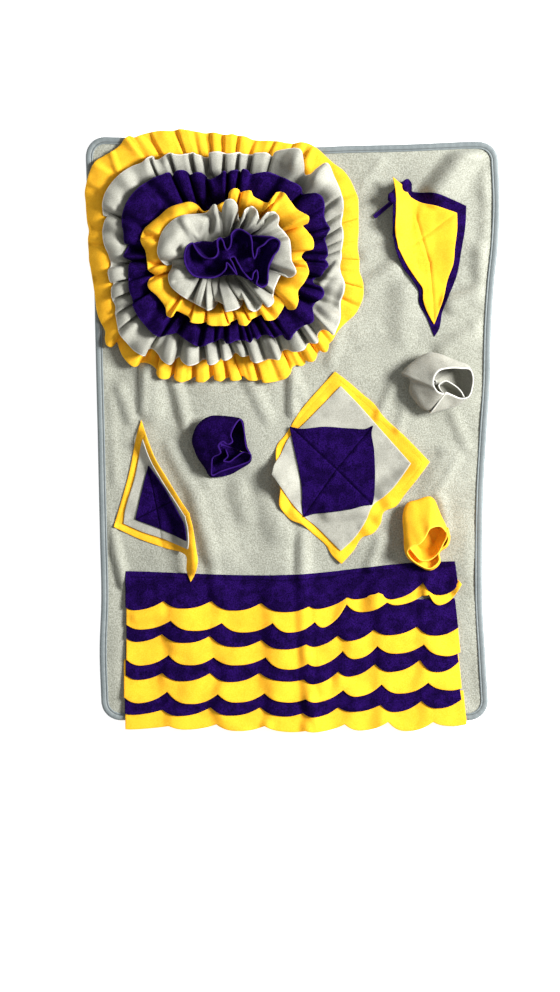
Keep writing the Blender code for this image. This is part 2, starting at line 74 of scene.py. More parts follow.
def lamp_at(distance, turn, height):
    """Place in metres at a bearing and a height angle from the mat, both in degrees."""
    turn, height = np.radians([turn, height])
    flat = distance * np.cos(height)
    return np.array([flat * np.cos(turn), flat * np.sin(turn), distance * np.sin(height)])


def add_camera():
    """A camera whose long side, the render's height, spans its pixels times the pixel size."""
    data = bpy.data.cameras.new("camera")
    data.lens, data.sensor_width = LENS, SENSOR
    data.clip_end = VIEW_ENDS
    camera = bpy.data.objects.new("camera", data)
    camera.location = (
        (RENDER[0] / 2 - MAT_MIDDLE[0]) * PIXEL_SIZE * MM,
        (MAT_MIDDLE[1] - RENDER[1] / 2) * PIXEL_SIZE * MM,
        RENDER[1] * PIXEL_SIZE * MM * LENS / SENSOR,
    )
    bpy.context.scene.collection.objects.link(camera)
    bpy.context.scene.camera = camera
    return camera


def add_lamp(name, where, size, watts):
    """A square area lamp that faces the mat."""
    data = bpy.data.lights.new(name, "AREA")
    data.shape, data.size, data.energy = "SQUARE", size, watts
    lamp = bpy.data.objects.new(name, data)
    lamp.location = where
    lamp.rotation_mode = "QUATERNION"
    lamp.rotation_quaternion = lamp.location.to_track_quat("Z", "Y")
    bpy.context.scene.collection.objects.link(lamp)


def light_world(strength):
    """A plain white world of a given strength."""
    world = bpy.data.worlds.new("studio")
    world.use_nodes = True
    sky = world.node_tree.nodes["Background"]
    sky.inputs["Color"].default_value = WHITE
    sky.inputs["Strength"].default_value = strength
    bpy.context.scene.world = world


camera = add_camera()
add_lamp("key", lamp_at(LAMP_DISTANCE, LAMP_TURN, LAMP_HEIGHT), LAMP_SIZE, LAMP_WATTS)
light_world(WORLD_LIGHT)
bpy.context.scene.view_settings.view_transform = "Standard"
print("camera", [round(v, 3) for v in camera.location], "m")

# %% [markdown]
# ## Curves and ridges
#
# Nearly every shape below is read from a short table of measured places. A cubic that takes
# each knot's slope from its neighbours passes smoothly through them. Creases and lifted edges
# are ridges: a raised cosine across a line, which starts and ends without a kink.

# %% Curves through measured places


def smooth(t):
    """Smooth step from 0 to 1 as t goes from 0 to 1: 3 t squared less 2 t cubed."""
    t = np.clip(t, 0.0, 1.0)
    return t * t * (3.0 - 2.0 * t)


def curve(at, knots, values):
    """Cubic through the knots, each knot's slope taken from its neighbours."""
    knots, values = np.asarray(knots, float), np.asarray(values, float)
    at = np.clip(np.asarray(at, float), knots[0], knots[-1])
    slope = np.gradient(values, knots, axis=0)
    i = np.clip(np.searchsorted(knots, at, side="right") - 1, 0, len(knots) - 2)
    span = knots[i + 1] - knots[i]
    t = (at - knots[i]) / span
    trailing = (1,) * (values.ndim - 1)
    t, span = t.reshape(t.shape + trailing), span.reshape(t.shape + trailing)
    return (
        (2 * t**3 - 3 * t**2 + 1) * values[i]
        + (t**3 - 2 * t**2 + t) * span * slope[i]
        + (3 * t**2 - 2 * t**3) * values[i + 1]
        + (t**3 - t**2) * span * slope[i + 1]
    )


def round_curve(bearing, values):
    """Closed cubic through values spaced evenly round a full turn, the first at bearing 0."""
    count = len(values)
    steps = np.arange(-2, count + 3)
    around = np.take(np.asarray(values, float), steps, axis=0, mode="wrap")
    return curve(np.mod(bearing, 360.0), steps * (360.0 / count), around)


def run_along(points):
    """Length of the line through the points up to each of them: the sum of its chords."""
    return np.append(0.0, np.cumsum(np.linalg.norm(np.diff(points, axis=0), axis=1)))


def line_through(points, count, closed=False):
    """Count points at even steps of chord length on a smooth curve through a few points."""
    points = np.asarray(points, float)
    if closed:
        points = np.concatenate([points[-2:], points, points[:3]])
    run = run_along(points)
    start, stop = (run[2], run[-3]) if closed else (run[0], run[-1])
    return curve(np.linspace(start, stop, count, endpoint=not closed), run, points)


print("curve check:", curve(np.array([0.5, 1.5]), [0, 1, 2], [0, 1, 4]).round(3))

# %% Ridges and unevenness
WAVES = 9  # cosine waves that add up to an unevenness


def hill(away, width):
    """Squared cosine that falls from 1 to 0 over a width."""
    return np.cos(0.5 * np.pi * np.minimum(np.abs(away) / width, 1.0)) ** 2


def from_line(x, y, line):
    """Distance to the nearest point of a straight line, given as x, y to x, y."""
    x0, y0, x1, y1 = line
    dx, dy = x1 - x0, y1 - y0
    t = np.clip(((x - x0) * dx + (y - y0) * dy) / max(dx * dx + dy * dy, 1e-9), 0.0, 1.0)
    return np.hypot(x - x0 - t * dx, y - y0 - t * dy)


def ridges(x, y, rows):
    """Sum of rounded ridges: each one's top times a hill across its crest line."""
    height = np.zeros(np.broadcast(x, y).shape)
    for *crest, half_width, top in rows:
        height = height + top * hill(from_line(x, y, crest), half_width)
    return height


def wander(x, y, height, size, seed):
    """Unevenness to about height up and down: the mean of cosine waves in seeded directions."""
    random = np.random.default_rng(seed)
    turn = random.uniform(0.0, np.pi, WAVES)
    length = size * random.uniform(0.7, 1.5, WAVES)
    phase = random.uniform(0.0, 2.0 * np.pi, WAVES)
    total = np.zeros(np.broadcast(x, y).shape)
    for a, l, p in zip(turn, length, phase):
        total = total + np.cos(2.0 * np.pi * (x * np.cos(a) + y * np.sin(a)) / l + p)
    return height * (total / np.sqrt(WAVES))


print("a ridge 6 mm high, at its crest and halfway out:", ridges(np.array([0, 5]), 0, [(0, -9, 0, 9, 10, 6)]))

# %% [markdown]
# ## A sheet of cloth
#
# Fleece is about 2 mm thick, and its soft cut edge gets a painted highlight, a paler colour.
# Solidify could thicken a surface, but it leaves a square edge. Here the middle surface is
# moved half a thickness each way along its normals, and the two faces are joined round the
# edge by a few rings that follow a half circle.
#
# Each point also keeps how far it is from the cut edge and from a sewn line. The materials
# read these as the attributes "edge" and "seam", to paint a highlight on the cut and dent the seam.

# %% Directions and lengths on a grid of cloth


def unit(vectors):
    """Vectors scaled to length 1."""
    return vectors / np.maximum(np.linalg.norm(vectors, axis=-1, keepdims=True), 1e-12)


def steps_along(middle, axis, wrap):
    """Central difference of the points along one axis of the grid, round the join if wrapped."""
    if wrap:
        return np.roll(middle, -1, axis) - np.roll(middle, 1, axis)
    return np.gradient(middle, axis=axis)


def way_out(middle, wrap):
    """Unit vectors pointing off the cloth at its edges, in its own surface."""
    across = unit(steps_along(middle, 1, False))
    along = unit(steps_along(middle, 0, wrap))
    out = np.zeros_like(middle)
    out[:, 0] -= across[:, 0]
    out[:, -1] += across[:, -1]
    if not wrap:
        out[0] -= along[0]
        out[-1] += along[-1]
    return unit(out)


def edge_distance(middle, wrap):
    """Distance of each point from the nearest cut edge, measured over the cloth."""
    away = []
    for axis in (1,) if wrap else (0, 1):
        pace = np.linalg.norm(np.diff(middle, axis=axis), axis=-1)
        run = np.cumsum(pace, axis=axis)
        start = np.zeros_like(np.take(run, [0], axis=axis))
        run = np.concatenate([start, run], axis=axis)
        away += [run, np.take(run, [-1], axis=axis) - run]
    return np.minimum.reduce(away)


def cloth_lengths(middle, wrap):
    """Mean running length along the grid's rows and across its columns, for the weave."""
    ring = np.concatenate([middle, middle[:1]]) if wrap else middle
    along = np.linalg.norm(np.diff(ring, axis=0), axis=-1).mean(1)
    across = np.linalg.norm(np.diff(middle, axis=1), axis=-1).mean(0)
    return np.append(0.0, np.cumsum(along)), np.append(0.0, np.cumsum(across))


print("unit check:", unit(np.array([3.0, 4.0])))

# %% Faces and a mesh


def grid_quads(rows, columns, wrap, closed=False):
    """Corner indices of a grid's quads; wrap joins its last row to the first, closed its columns."""
    last = (rows if wrap else rows - 1, columns if closed else columns - 1)
    i, j = (index.ravel() for index in np.indices(last))
    ahead, beside = (i + 1) % rows, (j + 1) % columns
    return np.stack([i, ahead, ahead, i], 1) * columns + np.stack([j, j, beside, beside], 1)


def edge_loops(rows, columns, wrap):
    """Grid indices of the points along each cut edge, in order round it."""
    index = np.arange(rows * columns).reshape(rows, columns)
    if wrap:
        return [index[:, 0], index[::-1, -1]]
    return [np.concatenate([index[:-1, 0], index[-1, :-1], index[:0:-1, -1], index[0, :0:-1]])]


def wall_quads(rings, outward):
    """Quads between neighbouring rings of point numbers, turned round if not outward."""
    walls = [np.stack([a, b, np.roll(b, -1), np.roll(a, -1)], 1) for a, b in zip(rings[:-1], rings[1:])]
    return walls if outward else [wall[:, ::-1] for wall in walls]


def new_mesh(name, points, faces, values=None, uv=None):
    """A smooth mesh object at the origin, with its point attributes and UV map."""
    mesh = bpy.data.meshes.new(name)
    mesh.from_pydata(points, [], faces)
    for label, value in (values or {}).items():
        mesh.attributes.new(label, "FLOAT", "POINT").data.foreach_set("value", value)
    if uv is not None:
        mesh.uv_layers.new(name="cloth").data.foreach_set("uv", uv.ravel())
    mesh.shade_smooth()
    mesh.update()
    piece = bpy.data.objects.new(name, mesh)
    bpy.context.scene.collection.objects.link(piece)
    return piece


def cloth_area(piece):
    """Area of one face of the cloth in square metres: half of the closed surface."""
    sizes = np.zeros(len(piece.data.polygons))
    piece.data.polygons.foreach_get("area", sizes)
    return 0.5 * sizes.sum()


print("quads of a grid of 3 by 3 points:", len(grid_quads(3, 3, False)))

# %% A closed sheet
EDGE_RINGS = 4
NO_SEAM = 99.0  # millimetres, farther from a sewn line than any material looks


def edge_rings(loop, middle, lift, out, half):
    """Points of the rings round a cut edge, between its two faces.

    Ring k of n is turned from one face to the other: half a thickness times cos(k pi / n)
    along the normal and sin(k pi / n) outwards.
    """
    rings = []
    for k in range(1, EDGE_RINGS):
        turn = np.pi * k / EDGE_RINGS
        rings.append(middle[loop] + half * (np.cos(turn) * lift[loop] + np.sin(turn) * out[loop]))
    return rings


def sheet_uv(middle, wrap, source, quads):
    """Flat place of each face's corners in metres, carried on over the join of a wrapped sheet."""
    along, across = cloth_lengths(middle, wrap)
    flat = np.stack(np.meshgrid(along[:len(middle)], across, indexing="ij"), -1).reshape(-1, 2)
    uv = flat[source][quads] * MM
    if wrap:
        jump = np.ptp(uv[..., 0], axis=1) > 0.5 * along[-1] * MM
        near = uv[jump, :, 0] < 0.5 * along[-1] * MM
        uv[jump, :, 0] += near * along[-1] * MM
    return uv


def cloth(name, middle, thickness, wrap=False, seams=None, cut_highlight_fade=0.0):
    """A closed sheet round a grid of middle points, all in millimetres.

    Face points are the middle plus or minus half a thickness along the normal. seams gives
    each point's distance from a sewn line. The fade argument is added to the distance from the
    edge, so that the highlight painted paler along the cut shows weaker.
    """
    rows, columns = middle.shape[:2]
    normal = unit(np.cross(steps_along(middle, 0, wrap), steps_along(middle, 1, False)))
    upward = normal[..., 2].mean() > 0
    grid = (middle, normal if upward else -normal, way_out(middle, wrap))
    grid_middle, lift, out = (values.reshape(-1, 3) for values in grid)
    half, count = 0.5 * thickness, rows * columns
    upper = grid_quads(rows, columns, wrap)
    lower = upper[:, ::-1] + count
    points = [grid_middle + half * lift, grid_middle - half * lift]
    quads = [upper, lower] if upward else [upper[:, ::-1], lower[:, ::-1]]
    source = [np.arange(count)] * 2         # the grid point that each mesh point belongs to
    for loop in edge_loops(rows, columns, wrap):
        rings = edge_rings(loop, grid_middle, lift, out, half)
        first = sum(map(len, points))
        numbers = first + np.arange(len(rings) * len(loop)).reshape(len(rings), -1)
        ahead = grid_middle[np.roll(loop, -1)] - grid_middle[loop]
        outward = (np.cross(ahead, lift[loop]) * out[loop]).sum() > 0
        quads += wall_quads([loop, *numbers, loop + count], outward)
        points += rings
        source += [loop] * len(rings)
    points, quads, source = (np.concatenate(parts) for parts in (points, quads, source))
    # the fade makes the highlight painted on the cut weaker
    away = edge_distance(middle, wrap) + cut_highlight_fade
    sewn = np.full((rows, columns), NO_SEAM) if seams is None else seams
    values = {"edge": away.ravel()[source], "seam": sewn.ravel()[source]}
    return new_mesh(name, points * MM, quads, values, sheet_uv(middle, wrap, source, quads))


print("points round each cut edge, for each one on it:", EDGE_RINGS - 1)

# %% [markdown]
# ## What fleece looks like
#
# Short polyester fleece has a nap of tiny tufts, a millimetre or two across, that catch the
# light and leave dark pits between them. Where it has been brushed or handled, whole patches
# turn a little lighter. Along its cut edge the fibre ends catch the light, a highlight that is
# painted as a paler colour.
#
# These effects are on every cloth of the mat, so each is a node group: one for the nap, one
# for the cut edge and one for the dent that a line of sewing presses into the cloth. The
# shader itself stays in each material.

# %% Shader helpers


def feed(tree, node, inputs):
    """Inputs of a node, by name or number: a value is set, another node's socket is linked."""
    for key, value in inputs.items():
        if isinstance(value, bpy.types.NodeSocket):
            tree.links.new(value, node.inputs[key])
        else:
            node.inputs[key].default_value = value


def add_node(tree, kind, inputs=None, **settings):
    """A shader node with its settings and its inputs."""
    made = tree.nodes.new("ShaderNode" + kind)
    for key, value in settings.items():
        setattr(made, key, value)
    feed(tree, made, inputs or {})
    return made


def maths(tree, operation, *values):
    """The result of one Math node."""
    return add_node(tree, "Math", dict(enumerate(values)), operation=operation).outputs[0]


def ramp(tree, value, low, high, out_low=0.0, out_high=1.0):
    """A value eased from one range to another."""
    inputs = {0: value, 1: low, 2: high, 3: out_low, 4: out_high}
    return add_node(tree, "MapRange", inputs, interpolation_type="SMOOTHSTEP").outputs[0]


def blend(tree, share, first, second, way="MIX"):
    """Two colours mixed by a share; 0, 6 and 7 are the Mix node's colour sockets."""
    inputs = {0: share, 6: first, 7: second}
    return add_node(tree, "Mix", inputs, data_type="RGBA", blend_type=way).outputs[2]


def noise(tree, where, size_mm, detail, roughness):
    """Noise whose blobs are about size_mm across, from 0 to 1."""
    scale = maths(tree, "DIVIDE", 1.0 / MM, size_mm)
    inputs = {"Vector": where, "Scale": scale, "Detail": detail, "Roughness": roughness}
    return add_node(tree, "TexNoise", inputs).outputs[0]


def new_group(name, inputs, outputs):
    """An empty shader group with its float sockets, its input node's sockets and its output node."""
    tree = bpy.data.node_groups.new(name, "ShaderNodeTree")
    for label, value in inputs.items():
        socket = tree.interface.new_socket(label, in_out="INPUT", socket_type="NodeSocketFloat")
        socket.default_value = value
    for label in outputs:
        tree.interface.new_socket(label, in_out="OUTPUT", socket_type="NodeSocketFloat")
    return tree, tree.nodes.new("NodeGroupInput").outputs, tree.nodes.new("NodeGroupOutput")


def use_group(tree, group, **inputs):
    """A group placed in a material, with its own values; returns its outputs."""
    made = tree.nodes.new("ShaderNodeGroup")
    made.node_tree = group
    feed(tree, made, inputs)
    return made.outputs


print("shader helpers ready")

# %% Groups for nap, cut edge and sewing
FIBRE_SIZE = 0.3  # a fibre's size as a share of a tuft's
FIBRE_SHARE = 0.3  # the fibres' share of the nap's height, the rest is the tufts'
FLECKS = (0.36, 0.64)  # nap heights between which a fleck fades in
PATCHES = (0.32, 0.68)  # noise between which a brushed patch fades in


def make_nap_group():
    """Height of the nap, its light flecks, and broad brushed patches, all from 0 to 1."""
    tree, given, result = new_group("nap", {"Tuft": 1.6, "Patch": 45.0}, ("Height", "Fleck", "Patch"))
    where = add_node(tree, "TexCoord").outputs["Object"]
    fibre_size = maths(tree, "MULTIPLY", given["Tuft"], FIBRE_SIZE)
    tuft = noise(tree, where, given["Tuft"], detail=3.0, roughness=0.6)
    fibre = noise(tree, where, fibre_size, detail=2.0, roughness=0.6)
    tuft = maths(tree, "MULTIPLY", tuft, 1.0 - FIBRE_SHARE)
    height = maths(tree, "ADD", tuft, maths(tree, "MULTIPLY", fibre, FIBRE_SHARE))
    patch = noise(tree, where, given["Patch"], detail=3.0, roughness=0.55)
    fleck, patch = ramp(tree, height, *FLECKS), ramp(tree, patch, *PATCHES)
    feed(tree, result, {"Height": height, "Fleck": fleck, "Patch": patch})
    return tree


def make_attribute_group(name, attribute):
    """1 on a line that an attribute measures the distance from in millimetres, 0 Width away."""
    tree, given, result = new_group(name, {"Width": 1.0}, ("Mask",))
    away = add_node(tree, "Attribute", attribute_name=attribute).outputs["Fac"]
    share = maths(tree, "DIVIDE", away, given["Width"])
    feed(tree, result, {"Mask": ramp(tree, share, 0.0, 1.0, 1.0, 0.0)})
    return tree


nap_group = make_nap_group()
# mask for the highlight painted along the cut edge
highlight_edge_group = make_attribute_group("cut edge", "edge")
seam_group = make_attribute_group("sewing", "seam")
print("groups:", [g.name for g in bpy.data.node_groups])

# %% [markdown]
# ## The five cloths
#
# Four fleeces and one woven tape. Each fleece mixes a pit colour and a tuft colour by the
# flecks, lightens by patches, gets a highlight painted paler along its cut edge and darkens in
# its seams. The nap drives the bump and the roughness. A little sheen stands for the fibre ends
# that glow at grazing angles; it is the same all over, so it is a plain value on the shader.
#
# The yellow is really an orange yellow. Under a strong lamp its red runs to full first, so
# lit cloth reads lemon and shaded folds read orange, as such cloth does.

# %% The four fleeces
# pit and tuft: the two colours of the nap; cut: the paler colour painted along a cut edge as the
# highlight of its fibre ends, and how far it reaches in millimetres; tuft_mm and depth_mm: size
# and height of the nap; patch_gain and patch_mm: how much lighter or darker a patch is, and its
# size; seam_dark: how far a seam goes to half the pit colour
FLEECES = {
    "panel": dict(
        pit=(0.240, 0.242, 0.196), tuft=(0.405, 0.412, 0.350), cut=(0.45, 0.45, 0.39), highlight_reach=0.8,
        tuft_mm=1.7, depth_mm=0.9, sheen=0.10, patch_gain=0.06, patch_mm=45.0, seam_dark=0.6,
    ),
    "grey": dict(
        pit=(0.270, 0.266, 0.222), tuft=(0.395, 0.392, 0.340), cut=(0.72, 0.71, 0.65), highlight_reach=1.7,
        tuft_mm=1.1, depth_mm=0.35, sheen=0.12, patch_gain=0.10, patch_mm=30.0, seam_dark=0.4,
    ),
    "yellow": dict(
        pit=(0.85, 0.400, 0.016), tuft=(0.94, 0.505, 0.034), cut=(0.95, 0.57, 0.05), highlight_reach=1.1,
        tuft_mm=1.2, depth_mm=0.30, sheen=0.0, patch_gain=0.06, patch_mm=24.0, seam_dark=0.22,
    ),
    "purple": dict(
        pit=(0.0016, 0.0003, 0.010), tuft=(0.0145, 0.0030, 0.072), cut=(0.036, 0.011, 0.145),
        highlight_reach=1.4, tuft_mm=1.3, depth_mm=0.45, sheen=0.0, patch_gain=0.34, patch_mm=13.0, seam_dark=0.85,
    ),
}
CUT_HIGHLIGHT = 0.85  # how far a cut edge goes to its paler colour, a painted highlight
FLEECE_SEAM = 1.7  # millimetres from a sewn line over which a fleece darkens
FLEECE_SEAM_DENT = 0.6  # depth of that line as a share of the nap's
FLEECE_ROUGH = (1.0, 0.86)  # roughness of the pits and of the tufts


def rgba(colour):
    """A colour with full alpha."""
    return (*colour, 1.0)


def new_material(name):
    """A material, its node tree and its shader."""
    made = bpy.data.materials.new(name)
    made.use_nodes = True
    return made, made.node_tree, made.node_tree.nodes["Principled BSDF"]


def bump(tree, height, depth_mm):
    """Normal of a height from 0 to 1 that stands depth_mm high."""
    inputs = {"Strength": 1.0, "Distance": depth_mm * MM, "Height": height}
    return add_node(tree, "Bump", inputs).outputs[0]


def make_fleece(name, pit, tuft, cut, highlight_reach, tuft_mm, depth_mm, sheen, patch_gain, patch_mm, seam_dark):
    """A fleece: nap and patches in colour, roughness and bump; painted highlight on the cut; dark seams."""
    made, tree, shader = new_material(name)
    nap = use_group(tree, nap_group, Tuft=tuft_mm, Patch=patch_mm)
    edge = use_group(tree, highlight_edge_group, Width=highlight_reach)["Mask"]
    seam = use_group(tree, seam_group, Width=FLEECE_SEAM)["Mask"]
    face = blend(tree, nap["Fleck"], rgba(pit), rgba(tuft))
    gain = ramp(tree, nap["Patch"], 0.0, 1.0, 1.0 - patch_gain, 1.0 + patch_gain)
    gain = add_node(tree, "CombineColor", {0: gain, 1: gain, 2: gain}).outputs[0]
    face = blend(tree, 1.0, face, gain, "MULTIPLY")
    # painted highlight: the cut edge is mixed towards its paler colour, for fibre ends that catch the light
    face = blend(tree, maths(tree, "MULTIPLY", edge, CUT_HIGHLIGHT), face, rgba(cut))
    face = blend(tree, maths(tree, "MULTIPLY", seam, seam_dark), face, rgba([0.5 * c for c in pit]))
    height = maths(tree, "SUBTRACT", nap["Height"], maths(tree, "MULTIPLY", seam, FLEECE_SEAM_DENT))
    feed(tree, shader, {
        "Base Color": face,
        "Roughness": ramp(tree, nap["Height"], 0.3, 0.7, *FLEECE_ROUGH),
        "Normal": bump(tree, height, depth_mm),
        "Sheen Weight": sheen,
        "Sheen Roughness": 0.5,
        "Specular IOR Level": 0.02,
    })
    return made


cloths = {name: make_fleece(name, **values) for name, values in FLEECES.items()}
print("fleeces:", list(cloths))

# %% The woven tape
TAPE_PIT = (0.120, 0.142, 0.146)
TAPE_TUFT = (0.185, 0.215, 0.220)
TAPE_WORN = (0.23, 0.26, 0.26)
TAPE_WEAR = 0.35  # how far a worn patch goes to that colour
TAPE_THREAD = (0.06, 0.07, 0.065)
TAPE_THREAD_SHARE = 0.7
TAPE_SEAM = 0.9  # millimetres
TAPE_SEAM_DENT = 2.0
TAPE_RIBS = 220.0  # ribs in a metre of the wave texture, and how unevenly they run
TAPE_RIB_UNEVEN = 0.6
TAPE_DEPTH = 0.12  # millimetres
TAPE_ROUGH = (0.62, 0.48)  # roughness between the ribs and on them


def make_tape():
    """Woven binding tape: fine ribs across it, a soft gloss and greyer wear on its fold."""
    made, tree, shader = new_material("tape")
    nap = use_group(tree, nap_group, Tuft=0.7, Patch=30.0)
    seam = use_group(tree, seam_group, Width=TAPE_SEAM)["Mask"]
    flat = add_node(tree, "TexCoord").outputs["UV"]
    inputs = {"Vector": flat, "Scale": TAPE_RIBS, "Distortion": TAPE_RIB_UNEVEN, "Detail": 1.0}
    rib = add_node(tree, "TexWave", inputs, bands_direction="X").outputs["Fac"]
    face = blend(tree, nap["Fleck"], rgba(TAPE_PIT), rgba(TAPE_TUFT))
    face = blend(tree, maths(tree, "MULTIPLY", nap["Patch"], TAPE_WEAR), face, rgba(TAPE_WORN))
    face = blend(tree, maths(tree, "MULTIPLY", seam, TAPE_THREAD_SHARE), face, rgba(TAPE_THREAD))
    halves = [maths(tree, "MULTIPLY", part, 0.5) for part in (rib, nap["Height"])]
    dent = maths(tree, "MULTIPLY", seam, TAPE_SEAM_DENT)
    height = maths(tree, "SUBTRACT", maths(tree, "ADD", *halves), dent)
    feed(tree, shader, {
        "Base Color": face,
        "Roughness": ramp(tree, rib, 0.0, 1.0, *TAPE_ROUGH),
        "Normal": bump(tree, height, TAPE_DEPTH),
        "Sheen Weight": 0.08,
    })
    return made


cloths["tape"] = make_tape()
print("cloths:", list(cloths))

# %% [markdown]
# ## Putting a piece in the frame
#
# Each piece rides on the mat's one body and stands for the imported solid in its place, which
# is hidden. It takes its material from the cloths above, and its triangles and its area of
# cloth are printed.

# %% Place a piece


def place(
    piece, node, colour
):
    """Material, body and stood-for node of a finished piece, with its triangles and cloth printed."""
    piece.data.materials.append(cloths[colour])
    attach(piece, "root")
    if node:
        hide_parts(node)
    triangles = 2 * len(piece.data.polygons)
    print(f"{piece.name}: {triangles} triangles, {cloth_area(piece) * 1e4:.0f} cm2 of cloth")
    return piece


# %% [markdown]
# ## The panel
#
# The panel is one piece of thick fleece, a little wider at the top than at the bottom. It
# lies flat, but it has been folded and handled: short creases stand up as soft ridges, and
# between them it swells slightly. The same height function places all that is sewn on it, so
# the cloth on top follows each crease below.

# %% The panel's outline and creases
PANEL = 3.0  # millimetres of cloth
HALF_HEIGHT = 354.0
CORNER = 24.0
SIDE_Y = (-330, -270, -205, -135, -70, 0, 60, 125, 180, 230, 280, 330)
SIDE_LEFT = (-231, -233, -231, -232.5, -234, -235.5, -237, -238.5, -240, -245, -248, -250)
SIDE_RIGHT = (242.4, 238.9, 235.4, 235.4, 236.9, 240.9, 244.9, 246.4, 249.9, 254.9, 256.9, 254.9)
TOP_X = (-228, -200, -100, 32, 70, 135, 215)
TOP_RISE = (6, 5, 0, -6.5, -5, -3.5, 0)
TOP_RISE_FADE = 100.0

# Creases: from x, y to x, y, half width, height (below 0 is a furrow)
CREASES = (
    (4, 84, 3, 24, 10, 5.5), (-7, 60, -6, 14, 8, -2.0), (13, 56, 15, 42, 9, 3.0),
    (17, -132, 15, -200, 12, 5.0), (5, -124, 4, -170, 9, -2.0), (15, -212, 24, -345, 12, 4.0),
    (-178, 78, -180, 24, 8, 5.0), (-170, 78, -166, 18, 20, 4.5), (-141, 62, -127, 6, 11, 6.5),
    (-208, 52, -195, 14, 11, 4.0), (-146, -20, -124, -66, 15, 4.5), (-117, -82, -98, -150, 17, 6.0),
    (-94, -164, -92, -200, 12, 4.0), (-104, -64, -84, -150, 28, 4.5), (-221, -112, -203, -186, 9, 7.5),
    (-220, 40, -214, -60, 9, 2.0), (220, 342, 182, 294, 26, 17.0), (240, 312, 238, 290, 14, 3.5),
    (246, 290, 242, 240, 16, 4.0), (236, 218, 239, 192, 21, 6.5), (198, 156, 236, 171, 18, 10.0),
    (188, 98, 230, 124, 18, 6.0), (138, 180, 138, 118, 24, 4.0), (94, 215, 126, 226, 13, 4.5),
    (95, 178, 128, 201, 17, 6.5), (112, 336, 90, 304, 9, 2.5), (125, 54, 108, 18, 8, 3.6),
    (141, 29, 133, 2, 8, 3.0), (205, -34, 180, -78, 9, 3.8), (195, -30, 170, -74, 18, 3.0),
    (186, -84, 192, -122, 9, 3.5), (183, -24, 218, -20, 6, 3.0), (-50, 62, -28, 18, 13, 4.0),
    (112, -132, 98, -166, 12, 4.5), (-62, -74, -54, -102, 20, 4.0), (-30, -86, -14, -122, 24, 4.5),
    (60, 130, 50, 84, 12, 3.0), (200, 20, 214, -14, 12, 3.0),
)


def top_rise(x, y):
    """How far the top edge leaves its straight line, fading down the panel."""
    return curve(x, TOP_X, TOP_RISE) * smooth((y - HALF_HEIGHT) / TOP_RISE_FADE + 1.0)


def row_ends(y, inset):
    """Left and right x of the panel at height y, round its corners, inset all round."""
    half, corner = HALF_HEIGHT - inset, CORNER - inset
    into = np.clip(np.abs(y) - (half - corner), 0.0, corner)
    round_off = corner - np.sqrt(np.maximum(corner**2 - into**2, 0.0))
    left = curve(y, SIDE_Y, SIDE_LEFT) + inset + round_off
    right = curve(y, SIDE_Y, SIDE_RIGHT) - inset - round_off
    return left, right


print("ends of the middle row:", np.round(row_ends(0.0, 0.0), 1), "mm;", len(CREASES), "creases")

# %% The ground that the panel gives
PANEL_INSET = 2.2  # millimetres from the mat's edge to the panel's, inside the tape
EDGE_LIFT = 1.5  # how high the tape holds the panel's edge
HELD_TO = 8.0  # millimetres from the edge up to which the tape holds it there
FREE_FROM = 17.0  # and from which it lies as it likes
# Height and size of the swellings, and of the fine unevenness
SWELL = (1.3, 95.0)
FINE_SWELL = (0.15, 22.0)


def underside(x, y):
    """Height of the panel's lower face: lifted into its tape, creased, gently swollen."""
    left, right = row_ends(y, PANEL_INSET)
    half = HALF_HEIGHT - PANEL_INSET
    inside = np.minimum.reduce(np.broadcast_arrays(x - left, right - x, half - y, half + y))
    free = smooth((inside - HELD_TO) / (FREE_FROM - HELD_TO))
    swell = SWELL[0] + wander(x, y, *SWELL, seed=11) + wander(x, y, *FINE_SWELL, seed=12)
    raised = ridges(x, y, CREASES) + np.maximum(swell, 0.0)
    return EDGE_LIFT * (1.0 - free) + np.maximum(raised, 0.0) * free


def ground(x, y):
    """Height of the panel's upper face, on which everything is sewn."""
    return PANEL + underside(x, y)


print("ground at the middle:", ground(np.array([0.0]), np.array([0.0])).round(2), "mm")

# %% The panel
ROW_STEP = 4.2
CORNER_ROWS = 12
PANEL_COLUMNS = 114


def make_panel():
    """Rows from side to side, closer together round the corners, lifted to the middle surface."""
    half = HALF_HEIGHT - PANEL_INSET
    turn = np.radians(np.linspace(0.0, 90.0, CORNER_ROWS + 1))[1:]
    corner_rows = half - CORNER + CORNER * np.sin(turn)
    middle_rows = np.arange(-(half - CORNER), half - CORNER, ROW_STEP)
    rows = np.concatenate([-corner_rows[::-1], middle_rows, corner_rows])
    share = np.linspace(0.0, 1.0, PANEL_COLUMNS)
    left, right = row_ends(rows, PANEL_INSET)
    x = left[:, None] + (right - left)[:, None] * share
    y = np.repeat(rows[:, None], PANEL_COLUMNS, axis=1)
    z = underside(x, y) + 0.5 * PANEL
    return cloth("panel_cloth", np.stack([x, y + top_rise(x, y), z], axis=-1), PANEL)


place(make_panel(), "panel", "panel")

# %% [markdown]
# ## The binding
#
# A tape folded over the raw edge and sewn through keeps the panel from fraying. It is a
# profile carried along the outline: a rounded fold outside, two flat legs, and on the top leg
# a furrow where the stitches pull it down. Sewing also puckers the tape a little between
# stitches, so the profile breathes along the way.

# %% The binding's path and profile
TAPE = 1.0  # millimetres of tape
TAPE_WIDTH = 9.0
FOLD_RADIUS = 3.0  # the fold is half as high as the tape's top, and a little flattened
FOLD_REACH = 0.9 * FOLD_RADIUS
FOLD_POINTS = 11
TAPE_TOP = 2.0 * FOLD_RADIUS
SEAM_FROM_EDGE = 6.6
# Both legs: distance in from the edge, and height
UPPER_LEG = ((4.4, 6.0), (5.6, 5.75), (SEAM_FROM_EDGE, 5.25), (7.6, 5.6), (TAPE_WIDTH, 5.65))
INNER_FACE = ((TAPE_WIDTH, 4.7), (1.6, 4.7), (1.3, 3.0), (1.6, TAPE), (TAPE_WIDTH, TAPE))
LOWER_LEG = ((TAPE_WIDTH, 0.0), (6.0, 0.0))
# Points along each corner, side and end of the outline, before it is divided evenly
CORNER_POINTS = 10
SIDE_POINTS = 60
END_POINTS = 50


